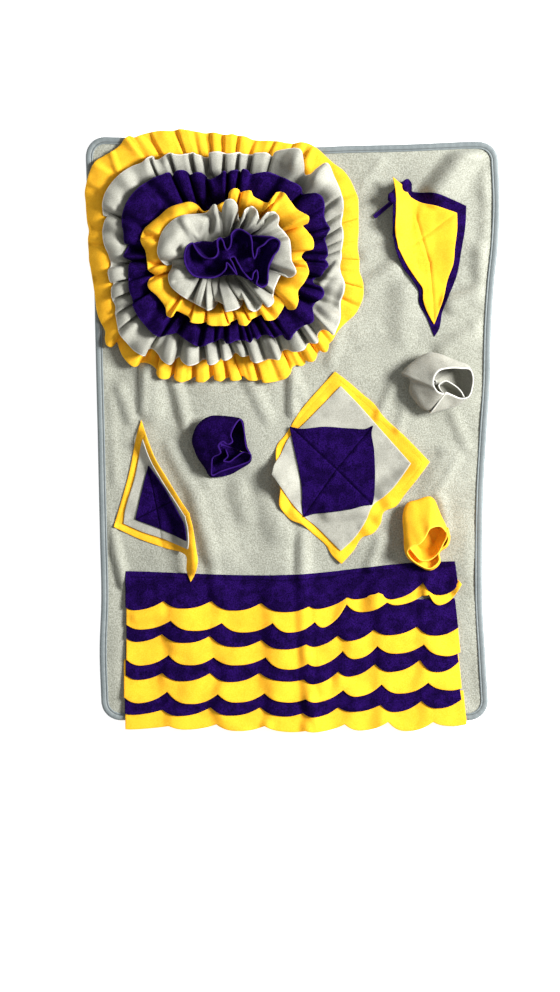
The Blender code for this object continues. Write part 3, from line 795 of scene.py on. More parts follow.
def outline_loop(step):
    """Even points round the mat's outer edge, anticlockwise from the bottom right corner."""
    arc = np.radians(np.linspace(0.0, 90.0, CORNER_POINTS))[1:]
    corner_y = HALF_HEIGHT - CORNER + CORNER * np.sin(arc)
    straight = np.linspace(-(HALF_HEIGHT - CORNER), HALF_HEIGHT - CORNER, SIDE_POINTS)
    right_y = np.concatenate([-corner_y[::-1], straight, corner_y])
    left_y = right_y[::-1]
    right_x, left_x = row_ends(right_y, 0.0)[1], row_ends(left_y, 0.0)[0]
    across = np.linspace(0.0, 1.0, END_POINTS)[1:-1]
    top_x = right_x[-1] + (left_x[0] - right_x[-1]) * across
    bottom_x = left_x[-1] + (right_x[0] - left_x[-1]) * across
    x = np.concatenate([right_x, top_x, left_x, bottom_x])
    end_y = np.full(len(across), HALF_HEIGHT)
    y = np.concatenate([right_y, end_y, left_y, -end_y])
    loop = np.stack([x, y + top_rise(x, y)], axis=1)
    closed = np.vstack([loop, loop[:1]])
    run = run_along(closed)
    at = np.linspace(0.0, run[-1], int(run[-1] / step), endpoint=False)
    return np.stack([np.interp(at, run, closed[:, k]) for k in (0, 1)], axis=1), at


def left_of(ahead):
    """Unit vectors a quarter turn to the left of the given ones."""
    ahead = unit(ahead)
    return np.stack([-ahead[:, 1], ahead[:, 0]], axis=1)


def tape_profile():
    """Distance in from the edge and height of the tape's section, round the fold and back."""
    turn = np.radians(np.linspace(-90.0, -270.0, FOLD_POINTS))
    fold = np.stack([FOLD_REACH + FOLD_REACH * np.cos(turn), FOLD_RADIUS * (1.0 + np.sin(turn))], 1)
    return np.array([*LOWER_LEG, *fold, *UPPER_LEG, *INNER_FACE])


print("points of the tape's profile:", len(tape_profile()))

# %% The binding
BINDING_STEP = 3.0
PUCKER = 0.22  # height of the puckers between stitches, and their pitch
PUCKER_PITCH = 9.5
SLOW_PUCKER = (0.35, 60.0)  # height and size of the slower unevenness
PUCKER_FROM = 2.0  # heights on the profile between which the puckers grow to their full
PUCKER_FULL = 5.0
SEAM_ABOVE = 4.9  # only the upper leg, above this height, shows the seam


def make_binding():
    """The profile carried round the outline, its height breathing by the pucker."""
    loop, at = outline_loop(BINDING_STEP)
    inward = left_of(steps_along(loop, 0, True))
    profile = tape_profile()
    flat = loop[:, None, :] + inward[:, None, :] * profile[None, :, :1]
    breathe = PUCKER * np.cos(2.0 * np.pi * at / PUCKER_PITCH) + wander(at, 0.0, *SLOW_PUCKER, seed=5)
    raised = smooth((profile[:, 1] - PUCKER_FROM) / (PUCKER_FULL - PUCKER_FROM))
    height = profile[None, :, 1] + breathe[:, None] * raised[None, :]
    points = np.concatenate([flat, height[..., None]], axis=2)
    rows, columns = points.shape[:2]
    quads = grid_quads(rows, columns, wrap=True, closed=True)
    i, j = np.divmod(quads[:, :1], columns)
    u = np.append(at, at[-1] + BINDING_STEP)[i + (0, 1, 1, 0)]
    width = run_along(profile)
    v = np.append(width, width[-1] + TAPE)[j + (0, 0, 1, 1)]
    seam = np.where(profile[:, 1] > SEAM_ABOVE, np.abs(profile[:, 0] - SEAM_FROM_EDGE), NO_SEAM)
    values = {"edge": np.full(rows * columns, NO_SEAM), "seam": np.tile(seam, rows)}
    return new_mesh("binding_tape", points.reshape(-1, 3) * MM, quads, values, np.stack([u, v], -1) * MM)


place(make_binding(), "edge_binding", "tape")

# %% [markdown]
# ## The rosette's rings
#
# The rosette is six strips of fleece, each gathered along one edge, sewn down in a ring and
# left free along the other. Inner rings are sewn closer in and stand higher, so each lies over
# the one outside it. In section a strip rises from its sewn line and arches outwards.
#
# Gathering puts more cloth into a ring than it has room for, and its free edge winds in loops
# that no even rule gives. So each edge is drawn as a closed line of places round the rosette's
# middle, and the cloth between it and the sewn line is lofted. Where the edge winds outwards
# there is a fold, and that fold is a tube that runs back to the sewing. So the edge is split
# into its smooth course and its winding, and the winding also goes upwards.
#
# Where the folds have been pressed over, they are flat pleats instead: each falls gently to
# a groove, and the next one starts there with a step that leans over the groove.
#
# Five rings are made here. The sixth is gathered so tightly that it gets its own way below.

# %% How a ring is written down
# edge: the free edge, x, y from the rosette's middle. sewn: radius of the sewn line, and its
# height. At each 45 degrees from the right anticlockwise - height: of the free edge; arch: the
# section's sine arch, as a share of a half turn, where more than a half droops at the edge;
# slant: degrees that the sewn end of a fold is turned from its free end. rise: height of a
# tube for each millimetre that its edge winds outwards. wedge: a groove's width at the sewing
# and at the edge. grooves: bearing, width to its anticlockwise and clockwise side, depth.
# tucks: ridges and furrows, x, y to x, y from the middle, half width, height
ROSETTE = (-81.0, 214.0)
RINGS = {}


def draw(pieces, name, **drawn):
    """Keep what is drawn of a piece, and print how many rows each of its tables has."""
    pieces[name] = drawn
    print(name, {key: len(rows) for key, rows in drawn.items() if isinstance(rows, tuple)})


print("the rosette stands on the panel at", ROSETTE, "mm")

# %% The outer yellow ring
draw(
    RINGS, "ruffle_yellow_outer", colour="yellow", flat=(47.0, 1060.0), rise=0.9, wedge=(0.6, 1.0),
    sewn=(121, 126, 109, 138, 123, 130, 114, 126), sewn_z=4.4, height=(11, 10, 11, 9, 7.5, 10, 12, 12),
    arch=(0.7, 0.7, 0.66, 0.84, 0.92, 0.8, 0.6, 0.66), slant=(0, 0, 0, 0, 0, -4, -4, 4),
    edge=(
        (-164, -1), (-165, 22), (-164, 30), (-166, 40), (-167, 50), (-168, 65), (-169, 79), (-167, 89),
        (-164, 99), (-161, 107), (-156, 115), (-145, 122), (-133, 129), (-125, 136), (-119, 144),
        (-116, 146), (-109, 144), (-101, 147), (-90, 150), (-78, 152), (-62, 152), (-54, 154), (-45, 153),
        (-33, 151), (-21, 149), (-15, 150), (-3, 148), (3, 147), (10, 148), (18, 146), (26, 145), (36, 141),
        (44, 140), (57, 140), (67, 139), (77, 137), (89, 137), (93, 138), (101, 137), (114, 130),
        (124, 121), (134, 112), (146, 103), (152, 95), (159, 81), (163, 71), (164, 58), (164, 44),
        (164, 30), (163, 18), (163, 8), (165, -5), (165, -19), (169, -31), (170, -41), (169, -52),
        (166, -60), (159, -72), (150, -80), (142, -88), (136, -96), (132, -103), (128, -107), (127, -113),
        (125, -117), (121, -117), (118, -115), (115, -117), (112, -125), (110, -128), (104, -129),
        (100, -127), (99, -131), (95, -134), (88, -133), (84, -135), (81, -143), (76, -149), (67, -152),
        (57, -154), (50, -154), (49, -149), (43, -151), (37, -152), (29, -151), (26, -147), (22, -146),
        (21, -150), (16, -152), (11, -152), (8, -148), (2, -149), (-4, -153), (-8, -152), (-10, -144),
        (-17, -148), (-25, -154), (-31, -153), (-32, -147), (-45, -152), (-53, -154), (-57, -152),
        (-59, -142), (-63, -145), (-70, -150), (-78, -149), (-82, -138), (-89, -132), (-100, -130),
        (-108, -135), (-121, -125), (-127, -113), (-130, -105), (-133, -103), (-135, -109), (-138, -111),
        (-142, -109), (-144, -103), (-144, -92), (-150, -80), (-154, -68), (-156, -54), (-158, -39),
        (-160, -27), (-162, -15), (-164, -3),
    ),
    grooves=(
        (5.8, 4.1, 4.1, 2.1), (15.5, 2.5, 2, 3.5), (26, 6.9, 6.9, 2.1), (51, 11, 4.1, 3.5),
        (58, 5.5, 4.1, 2.8), (66, 9.7, 4.1, 4.1), (75.3, 9.7, 4.1, 4.9), (83, 8.3, 4.1, 4.1),
        (90.5, 9.7, 4.1, 5.5), (97, 12.4, 5.5, 6.2), (104, 8.3, 8.3, 2.8), (111, 6.9, 4.1, 4.9),
        (121.6, 15, 4.1, 6.9), (129, 4.1, 12.4, 4.9), (143, 8.3, 11, 2.8), (153, 11, 6.9, 2.8),
        (167.5, 8.3, 11, 2.8), (175, 4.1, 8.3, 2.8), (190, 11, 11, 2.1), (200, 6.9, 9.7, 2.1),
        (210, 9.7, 6.9, 2.1), (218.5, 4.1, 6.9, 6.9), (232.5, 11, 6.9, 5.5), (239.5, 2.5, 11, 5.5),
        (248.4, 2.2, 15, 6.9), (253, 4.1, 5.5, 2.1), (257.9, 2.2, 15, 6.9), (266, 2.2, 13.8, 6.9),
        (273.5, 2.2, 11, 6.9), (278.5, 2.2, 8.3, 6.2), (282, 5.5, 5.5, 2.1), (288, 2.2, 15, 7.6),
        (294, 6.9, 6.9, 2.1), (300.7, 4.1, 6.9, 5.5), (306.5, 4.1, 8.3, 5.5), (313.5, 4.1, 8.3, 5.5),
        (321, 6.9, 5.5, 2.8), (339, 6.9, 5.5, 3.5), (346.5, 4.1, 2.5, 3.5), (352.3, 6.9, 6.9, 2.1),
        (358.3, 2.5, 2.5, 3.5),
    ),
    tucks=((106, 132, 100, 104, 8, 3.5), (-138, 128, -128, 100, 6, 2.5)),
)

# %% The outer grey ring
draw(
    RINGS, "ruffle_grey_outer", colour="grey", flat=(52.0, 1000.0), rise=2.0, wedge=(1.1, 1.0),
    sewn=(101, 106, 92, 115, 103, 109, 95, 105), sewn_z=4.35, height=(25, 26, 27, 25, 23, 25, 27, 26),
    arch=(0.58, 0.62, 0.56, 0.66, 0.72, 0.62, 0.56, 0.6), slant=(-6, -6, 0, 4, 0, -3, -6, 6),
    edge=(
        (-139, -1), (-145, 14), (-147, 30), (-143, 44), (-138, 52), (-145, 48), (-147, 58), (-145, 71),
        (-138, 85), (-127, 97), (-111, 108), (-98, 113), (-92, 119), (-87, 121), (-80, 116), (-74, 119),
        (-67, 124), (-61, 124), (-56, 122), (-45, 123), (-36, 125), (-30, 122), (-22, 119), (-17, 121),
        (-13, 124), (3, 124), (8, 123), (20, 125), (25, 123), (38, 123), (44, 124), (52, 124), (60, 120),
        (66, 126), (75, 128), (93, 127), (97, 112), (100, 97), (106, 98), (114, 105), (125, 111), (134, 95),
        (141, 79), (145, 65), (145, 52), (143, 40), (145, 30), (145, 18), (143, 8), (143, -3), (141, -13),
        (142, -21), (147, -35), (146, -45), (142, -56), (142, -68), (141, -80), (136, -92), (134, -97),
        (128, -92), (120, -90), (115, -94), (113, -107), (109, -107), (104, -106), (97, -115), (85, -117),
        (77, -114), (71, -116), (69, -122), (67, -127), (60, -126), (54, -126), (46, -129), (39, -131),
        (33, -126), (34, -120), (29, -122), (22, -123), (17, -119), (14, -118), (8, -125), (1, -128),
        (-2, -126), (2, -120), (-4, -126), (-13, -133), (-18, -133), (-21, -126), (-25, -126), (-33, -132),
        (-43, -134), (-50, -129), (-54, -123), (-59, -126), (-65, -133), (-74, -128), (-80, -119),
        (-88, -113), (-94, -115), (-96, -122), (-107, -117), (-117, -107), (-127, -94), (-130, -78),
        (-132, -68), (-131, -62), (-135, -54), (-136, -41), (-134, -34), (-139, -27), (-140, -19),
        (-137, -12),
    ),
    grooves=(
        (3, 2.5, 7.5, 10), (8, 2.5, 9, 10), (14, 2.5, 9, 10), (20.5, 4.5, 12, 11.5), (27.5, 4.5, 9, 5.8),
        (63.5, 5, 2.4, 7), (72.5, 13.5, 2.2, 14.4), (79.9, 12, 2.2, 14.4), (87.7, 13.5, 2.2, 15.8),
        (97, 15, 2.2, 15.8), (106, 13.5, 2.2, 15.8), (116.8, 13.5, 2.2, 15.8), (126, 15, 2.4, 17.2),
        (137, 15, 15, 5.8), (147, 13.5, 13.5, 4.2), (159, 6, 9, 17.2), (169, 13.5, 12, 10),
        (184.8, 7.5, 6, 14.4), (193, 9, 2.4, 12.9), (200.8, 10.5, 2.4, 12.9), (207.9, 12, 2.4, 11.5),
        (214.7, 13.5, 2.4, 11.5), (224, 15, 15, 4.2), (232.5, 6, 10.5, 11.5), (246.8, 4.5, 12, 12.9),
        (260.5, 4.5, 12, 12.9), (270, 4.5, 7.5, 11.5), (276, 4.5, 6, 10), (284.5, 4.5, 7.5, 12.9),
        (292.4, 4.5, 9, 11.5), (301.5, 4.5, 7.5, 12.9), (313.5, 4.5, 9, 11.5), (318.5, 6, 6, 8.6),
        (334, 12, 9, 7.2), (347, 9, 9, 5.8),
    ),
    tucks=(
        (90, 112, 141, 71, 20, 9), (118, -36, 139, -10, 6, 5), (122, -66, 132, -74, 10, 3),
        (140, -40, 134, -58, 9, -3), (-128, 56, -108, 44, 8, -4),
    ),
)

# %% The outer purple ring
draw(
    RINGS, "ruffle_purple_outer", colour="purple", flat=(64.0, 960.0), rise=1.4, wedge=(1.5, 0.8),
    sewn=(59, 61, 53, 67, 60, 63, 55, 61), sewn_z=4.25, height=(36, 36, 37, 36, 33, 35, 36, 36),
    arch=(0.56, 0.58, 0.54, 0.6, 0.64, 0.58, 0.54, 0.56), slant=(0, -4, 0, 6, 0, -4, 0, 0),
    edge=(
        (-118, 14), (-121, 28), (-123, 38), (-123, 46), (-121, 54), (-115, 67), (-105, 79), (-95, 87),
        (-86, 92), (-74, 97), (-65, 99), (-62, 96), (-57, 101), (-50, 102), (-44, 100), (-40, 97),
        (-35, 99), (-25, 98), (-21, 95), (-18, 91), (-13, 92), (-3, 98), (1, 101), (4, 99), (8, 101),
        (18, 102), (21, 101), (23, 103), (29, 102), (32, 98), (42, 99), (52, 100), (61, 98), (71, 94),
        (81, 89), (91, 84), (94, 81), (95, 75), (105, 74), (113, 74), (119, 70), (122, 63), (122, 46),
        (125, 38), (129, 32), (126, 26), (123, 20), (125, 10), (126, -1), (123, -6), (126, -9), (127, -13),
        (122, -19), (118, -25), (112, -27), (108, -31), (111, -37), (119, -40), (122, -46), (119, -53),
        (111, -58), (108, -63), (109, -74), (109, -80), (106, -83), (99, -85), (93, -88), (85, -96),
        (80, -103), (77, -103), (74, -97), (67, -98), (62, -100), (57, -98), (49, -96), (44, -99),
        (41, -102), (37, -100), (32, -106), (28, -104), (22, -103), (14, -104), (8, -107), (4, -107),
        (0, -102), (-3, -101), (-9, -104), (-15, -106), (-23, -110), (-28, -111), (-33, -110), (-45, -103),
        (-54, -96), (-57, -94), (-62, -95), (-70, -97), (-78, -99), (-83, -97), (-88, -93), (-94, -86),
        (-101, -78), (-106, -70), (-109, -63), (-110, -54), (-114, -43), (-115, -33), (-115, -21),
        (-114, -12), (-112, -9), (-110, -13), (-109, -8), (-115, -5), (-121, -2), (-118, 6), (-117, 8),
        (-114, 16),
    ),
    grooves=(
        (1, 6, 6, 11), (9, 6, 7.5, 12.4), (15, 7.5, 6, 12.4), (26, 10.5, 10.5, 8.3), (38.5, 6, 9, 16.6),
        (55, 15, 15, 9.6), (78.5, 6, 4.5, 16.6), (86.5, 6, 4.5, 17.9), (102.5, 10.5, 7.5, 20.6),
        (113, 6, 4.5, 17.9), (122.8, 7.5, 4.5, 19.3), (137, 12, 14.9, 8.3), (160, 7.5, 14.9, 8.3),
        (177, 9, 7.5, 19.3), (184, 10.5, 6, 11), (195.5, 4.5, 9, 12.4), (209.5, 2.5, 13.5, 12.4),
        (221, 12, 12, 5.5), (231.5, 9, 7.5, 15.1), (241, 6, 9, 13.8), (255.6, 4.5, 12, 15.1),
        (264, 6, 7.5, 11), (272.5, 4.5, 7.5, 13.8), (282, 6, 7.5, 9.6), (287, 4.5, 7.5, 12.4),
        (296.5, 4.5, 9, 12.4), (302.5, 4.5, 7.5, 12.4), (308.5, 6, 9, 15.1), (331.5, 6, 10.5, 13.8),
        (338, 7.5, 7.5, 11), (347, 6, 9, 13.8), (355.5, 6, 7.5, 12.4),
    ),
    tucks=(),
)

# %% The inner yellow ring
draw(
    RINGS, "ruffle_yellow_inner", colour="yellow", flat=(56.0, 560.0), rise=1.1, wedge=(1.0, 1.0),
    sewn=(52, 52, 52, 52, 50, 50, 50, 52), sewn_z=4.1, height=(45, 46, 44, 38, 37, 42, 44, 45),
    arch=(0.56, 0.58, 0.58, 0.7, 0.7, 0.58, 0.54, 0.54), slant=(0, 0, 0, 0, 0, -6, -8, 0),
    edge=(
        (-100, 18), (-96, 30), (-89, 37), (-78, 46), (-66, 56), (-52, 61), (-38, 63), (-31, 59), (-25, 52),
        (-17, 54), (-9, 58), (-2, 62), (6, 66), (8, 75), (13, 79), (18, 78), (20, 75), (26, 76), (33, 76),
        (35, 71), (43, 66), (53, 62), (60, 63), (65, 75), (71, 75), (80, 65), (89, 54), (97, 49), (103, 45),
        (102, 39), (96, 36), (102, 27), (108, 18), (108, 7), (98, 4), (94, -2), (100, -11), (103, -20),
        (98, -33), (90, -44), (90, -58), (86, -66), (79, -66), (75, -58), (71, -66), (60, -79), (51, -79),
        (48, -72), (40, -75), (33, -80), (27, -86), (21, -85), (22, -77), (12, -80), (6, -85), (-6, -86),
        (-16, -85), (-19, -81), (-28, -83), (-38, -82), (-42, -75), (-49, -71), (-58, -68), (-64, -76),
        (-68, -74), (-70, -64), (-80, -50), (-91, -38), (-89, -29), (-83, -25), (-91, -18), (-92, -10),
        (-94, 4),
    ),
    grooves=(
        (21.4, 5.7, 10, 10.9), (44.4, 12.9, 5.7, 9.4), (74, 4.3, 4.3, 10.9), (84, 4.3, 4.3, 7.8),
        (104, 11.4, 11.4, 7.8), (120, 12.9, 8.6, 9.4), (166, 8.6, 7.2, 7.8), (188, 5.7, 8.6, 10.9),
        (199, 7.2, 5.7, 10.9), (226, 4.3, 8.6, 9.4), (244, 2.5, 7.2, 7.8), (257, 2.5, 8.6, 7.8),
        (274, 2.5, 7.2, 7.8), (282, 2.5, 5.7, 7.8), (293, 2.5, 7.2, 7.8), (309, 8.6, 5.7, 7.8),
        (323, 7.2, 7.2, 7.8), (350, 5.7, 8.6, 9.4),
    ),
    tucks=((62, 74, 52, 40, 9, 6), (95, -5, 70, -12, 8, -4), (-60, 55, -48, 30, 12, 3)),
)

# %% The inner grey ring
draw(
    RINGS, "ruffle_grey_inner", colour="grey", flat=(64.0, 560.0), rise=1.6, wedge=(1.0, 1.0),
    sewn=(24, 24, 24, 24, 24, 24, 24, 24), sewn_z=4.0, height=(53, 54, 53, 49, 46, 48, 52, 53),
    arch=(0.54, 0.54, 0.54, 0.62, 0.66, 0.6, 0.56, 0.54), slant=(0, 0, 0, 10, 0, -24, -22, 0),
    edge=(
        (-67, -13), (-74, -9), (-79, 1), (-78, 13), (-73, 27), (-64, 38), (-50, 46), (-34, 48), (-20, 50),
        (-10, 59), (-5, 51), (-2, 50), (0, 58), (5, 65), (11, 65), (16, 59), (17, 49), (21, 38), (25, 44),
        (27, 54), (34, 58), (40, 53), (43, 42), (49, 33), (49, 43), (54, 50), (61, 51), (67, 44), (66, 35),
        (72, 28), (79, 19), (81, 8), (82, -7), (87, -24), (80, -28), (71, -24), (64, -35), (60, -48),
        (60, -59), (54, -64), (48, -58), (44, -65), (37, -69), (30, -65), (32, -57), (25, -54), (21, -62),
        (13, -68), (5, -69), (1, -62), (-4, -56), (-10, -62), (-13, -68), (-23, -65), (-38, -57),
        (-53, -48), (-64, -37), (-66, -26), (-62, -16), (-62, -7),
    ),
    grooves=(
        (36, 4.6, 7.7, 17), (56, 6.2, 9.2, 20), (71, 6.2, 9.2, 20), (187, 6.2, 10.8, 21),
        (236, 4.6, 10.8, 17), (253, 2.4, 10.8, 19), (263, 2.4, 9.2, 19), (276, 2.4, 9.2, 19),
        (290, 2.4, 9.2, 19), (304, 4.6, 9.2, 17), (321, 6.2, 12.3, 17), (344, 9.2, 9.2, 12),
        (15.5, 7.7, 7.7, 12),
    ),
    tucks=(
        (-21, 24, -15, 44, 8, -13), (-10, 56, -28, 20, 7, 6), (-54, 5, -37, 21, 5, -6),
        (-48, 40, -36, 21, 8, 4), (-58, -33, -36, -27, 5, -3), (-78, 4, -58, 20, 12, 3),
        (-46, -17, -60, -14, 6, -8),
    ),
)

# %% How a ring folds
STATIONS = 780
COURSE_WIDTH = 17.0  # millimetres of edge over which its course is averaged
OVERLAP = 0.28  # how far a step leans over its groove, as a share of its depth
LEAN_WIDTH = 6.0  # millimetres beside a groove that lean with the step
STEEP = 3.0  # a side of a groove narrower than this is a step


def arch_height(start, end, arch, t):
    """Height of a strip's section from its sewn line to its free edge: a sine of arch half turns."""
    arch = arch * np.pi
    return start + (end - start) * np.sin(arch * t) / np.sin(arch)


def course_of(edge, width):
    """The smooth course of a closed line: its points averaged with a bell curve's weights."""
    count = len(edge)
    pace = np.linalg.norm(edge - np.roll(edge, 1, axis=0), axis=1).mean()
    way = (np.arange(count) + count // 2) % count - count // 2
    weights = np.exp(-0.5 * (way * pace / width) ** 2)
    spectrum = np.fft.fft(weights / weights.sum())[:, None]
    return np.fft.ifft(np.fft.fft(edge, axis=0) * spectrum, axis=0).real


def loft(inner, outer, t):
    """Plan points on the straight lines from an inner to an outer closed line, t of the way out."""
    return inner[:, None] + (outer - inner)[:, None] * t[..., None]


def groove_shape(course, grooves, wedge, t):
    """Fall of the cloth in the grooves and its shift along the edge, for each station and row.

    Each bank of a groove has its own width. Where it is a step, the cloth at its top shifts
    over the groove by a hill.
    """
    bearing = np.degrees(np.unwrap(np.arctan2(course[:, 1], course[:, 0])))
    run = run_along(course)
    whole = run[-1] + np.linalg.norm(course[0] - course[-1])
    turned = bearing[0] - bearing
    order = np.argsort(turned)
    widen = wedge[0] + (wedge[1] - wedge[0]) * t
    fall, shift = np.zeros((2, len(course), t.size))
    for at, left, right, depth in grooves:
        bottom = np.interp(np.mod(bearing[0] - at, 360.0), turned[order], run[order])
        away = (np.mod(run - bottom + 0.5 * whole, whole) - 0.5 * whole)[:, None]
        width = np.where(away > 0.0, right, left) * widen
        fall = fall + depth * hill(away, width)
        for side, sign in ((left, -1.0), (right, 1.0)):
            if side < STEEP:
                beside = np.where(away * sign > 0.0, np.minimum(np.abs(away) / side, 1.0), 0.0)
                leaning = hill(np.abs(away) - side, LEAN_WIDTH)
                shift = shift - sign * OVERLAP * depth * beside * leaning
    return fall, shift


print("an arch of 0.6 half turns, from 0 to 10 mm:", arch_height(0, 10, 0.6, np.linspace(0, 1, 5)).round(1))

# %% What a ring lies on
CELL = 2.5  # millimetres of a map of heights round the rosette
MAP_SIDE = 160
TAPE_REACH = 11.0  # millimetres in from the outline, and out, that the tape takes up
TAPE_OUTSIDE = 3.0
map_x = ROSETTE[0] + CELL * (np.arange(MAP_SIDE) - MAP_SIDE / 2)
map_y = ROSETTE[1] + CELL * (np.arange(MAP_SIDE) - MAP_SIDE / 2)


def cells_in(x, y, last):
    """Places on the map counted in cells from its corner, from 0 to last."""
    return (np.clip((at - axis[0]) / CELL, 0.0, last) for at, axis in ((x, map_x), (y, map_y)))


def bilinear(heights, x, y):
    """A map of heights read between its cells; a place on its last cell counts as just before it."""
    i, j = cells_in(x, y, MAP_SIDE - 1.001)
    a, b = i.astype(int), j.astype(int)
    p, q = i - a, j - b
    low = heights[a, b] * (1 - q) + heights[a, b + 1] * q
    high = heights[a + 1, b] * (1 - q) + heights[a + 1, b + 1] * q
    return low * (1 - p) + high * p


def add_to_map(heights, points):
    """The map raised to a ring's points, with the gaps between them filled and softened."""
    nearest = (np.rint(cells).astype(int) for cells in cells_in(points[..., 0], points[..., 1], MAP_SIDE - 1))
    raised = heights.copy()
    np.maximum.at(raised, tuple(nearest), points[..., 2])
    around = [(a, b) for a in (-1, 0, 1) for b in (-1, 0, 1)]
    raised = np.maximum.reduce([np.roll(raised, shift, (0, 1)) for shift in around])
    return np.mean([np.roll(raised, shift, (0, 1)) for shift in around], axis=0)


def mat_map():
    """Heights of the panel and its tape under the rosette."""
    x, y = np.meshgrid(map_x, map_y, indexing="ij")
    left = row_ends(y, 0.0)[0]
    rim = (np.minimum(x - left, HALF_HEIGHT - y) < TAPE_REACH) & (x > left - TAPE_OUTSIDE)
    return np.where(rim, TAPE_TOP, ground(x, y))


heights = mat_map()
print("map of the ground:", heights.shape, "cells, highest", heights.max().round(1), "mm")

# %% The rings
FLEECE = 2.0  # millimetres of cloth
RING_ROWS = 21
ROW_POWER = 0.85  # below 1, rows lie closer together at the free edge
FULL_DEPTH_AT = 0.4  # share of the way out where the grooves are fully deep
WINDING_POWER = 1.7
MOST_RISE = 9.0  # millimetres of winding outwards that still lift a tube
MOST_FALL = 5.0  # and of winding inwards that still lower it
RING_UNEVEN = (0.7, 24.0)  # height and size of the free edge's unevenness
CLEARANCE = 0.4  # millimetres between a ring and what it lies on
SEWN_TO = 0.2  # share of the way out that is sewn down under the next ring
LIES_FROM = 0.3  # share of the way out from which the map fully holds the cloth up


def ring_plan(ring, course, winding, bearing, shift, t):
    """Plan of a ring: the course goes out as t, the winding as t to the WINDING_POWER."""
    angle = np.radians(bearing + round_curve(bearing, ring["slant"]))
    sewn = round_curve(bearing, ring["sewn"])[:, None] * np.stack([np.cos(angle), np.sin(angle)], 1)
    along = unit(steps_along(course, 0, True))
    plan = loft(sewn, course, t) + winding[:, None] * t[..., None] ** WINDING_POWER
    return plan + along[:, None] * shift[..., None]


def ring_points(ring, seed, below):
    """Middle points lofted from the sewn line to the drawn free edge.

    Height: the sine arch, plus the winding's outward part times sin(pi t / 2), less the
    grooves, and never under the map.
    """
    edge = line_through(ring["edge"], STATIONS, closed=True)
    course = course_of(edge, COURSE_WIDTH)
    winding = edge - course
    bearing = np.degrees(np.arctan2(course[:, 1], course[:, 0]))
    t = np.linspace(0.0, 1.0, RING_ROWS)[None, :] ** ROW_POWER
    fall, shift = groove_shape(course, ring["grooves"], ring["wedge"], t)
    grow = smooth(t / FULL_DEPTH_AT)
    plan = ring_plan(ring, course, winding, bearing, shift * grow, t)
    outwards = (winding * unit(course)).sum(1)
    most = np.where(outwards > 0.0, MOST_RISE, MOST_FALL)
    outwards = most * np.tanh(outwards / most)
    top, arch = round_curve(bearing, ring["height"]), round_curve(bearing, ring["arch"])
    z = arch_height(ring["sewn_z"], top[:, None], arch[:, None], t)
    z = z + ring["rise"] * outwards[:, None] * np.sin(0.5 * np.pi * t) - fall * grow
    x, y = plan[..., 0], plan[..., 1]
    z = z + ridges(x, y, ring["tucks"]) * grow + t * wander(x, y, *RING_UNEVEN, seed)
    x, y = x + ROSETTE[0], y + ROSETTE[1]
    least = bilinear(below, x, y) + 0.5 * FLEECE + CLEARANCE
    z = np.where(t < SEWN_TO, z, np.maximum(z, least * smooth(t / LIES_FROM)))
    return np.stack([x, y, z], axis=-1)


for seed, (name, ring) in enumerate(RINGS.items(), start=20):
    points = ring_points(ring, seed, heights)
    heights = add_to_map(heights, points + (0.0, 0.0, 0.5 * FLEECE))
    piece = cloth(name + "_cloth", points, FLEECE, wrap=True, cut_highlight_fade=0.5)
    place(piece, name, ring["colour"])

# %% [markdown]
# ## The purple bunch
#
# The innermost strip is gathered so tightly that it stands nearly upright and meanders over
# itself. From above, its free edge shows as a thin winding rim with dark pockets between.
# It is a wall whose foot follows the rim's smooth course, drawn in a little. Below it lies
# the bunched rest of the strip, a dome under the rim.

# %% The bunch's rim and outline
BUNCH_CENTRE = (8.0, -4.0)
BUNCH_RIM = (
    (-38, 13), (-34, 7), (-28, -1), (-22, -5), (-14.5, -6), (-9, -3.5), (-6.5, 3), (-7.5, 11), (-7, 17),
    (-3.5, 19), (-0.5, 15.5), (1.5, 9), (4, 4.5), (7.5, 7.5), (9.5, 15), (10, 23.5), (15, 29), (21, 29.5),
    (27, 26.5), (32.5, 22), (34.5, 15), (35, 6), (36, -1), (37.5, -6), (40, -1), (41.5, 6), (49, 11),
    (56.5, 18), (62.5, 19), (68, 15), (67, 6), (60, -3.5), (55.5, -13), (54, -25.5), (52, -38),
    (46.5, -40.5), (40.5, -37), (42, -28), (40, -20), (37, -23), (34.5, -31), (25, -23), (17.5, -11),
    (12.5, -3.5), (8, -5), (11, -11), (16, -25), (9, -16), (4, -11), (3.5, -17), (-1, -23), (-9.5, -28),
    (-23, -29), (-36.5, -26), (-44, -17), (-47, -7), (-46.5, 2), (-43, 10),
)
BUNCH_OUTLINE = (
    (-46, -7), (-44, 4), (-42, 10), (-34, 14), (-23, 16), (-14, 15), (-7, 18), (5, 21), (13, 27), (21, 29),
    (33, 23), (47, 22), (63, 19), (68, 12), (61, -3), (55, -16), (52, -36), (47, -40), (34, -32), (16, -24),
    (4, -24), (-9, -27), (-23, -28), (-36, -26), (-44, -16),
)
print("places on the rim and on the outline:", len(BUNCH_RIM), len(BUNCH_OUTLINE))

# %% The purple bunch
BUNCH_COURSE = 6.0  # millimetres of rim over which its course is averaged
BUNCH_DRAWN_IN = 0.86  # how far out the foot stands, as a share of that course
WALL_HEIGHT = (44.0, 61.0)  # of the wall's foot and of its rim
WALL_GRID = (620, 14)  # stations round it, and rows up it
WALL_POWER = 1.3
WALL_UNEVEN = (1.6, 22.0)  # height and size of its unevenness
DOME_HEIGHT = (36.0, 43.0)  # at the dome's edge and at its middle
DOME_GRID = (200, 22)
DOME_HOLE = 0.04  # the small ring at its middle, as a share of its outline
DOME_ROUNDING = 0.02  # added under the root, so that the dome's edge isn't upright
DOME_UNEVEN = (2.2, 17.0)


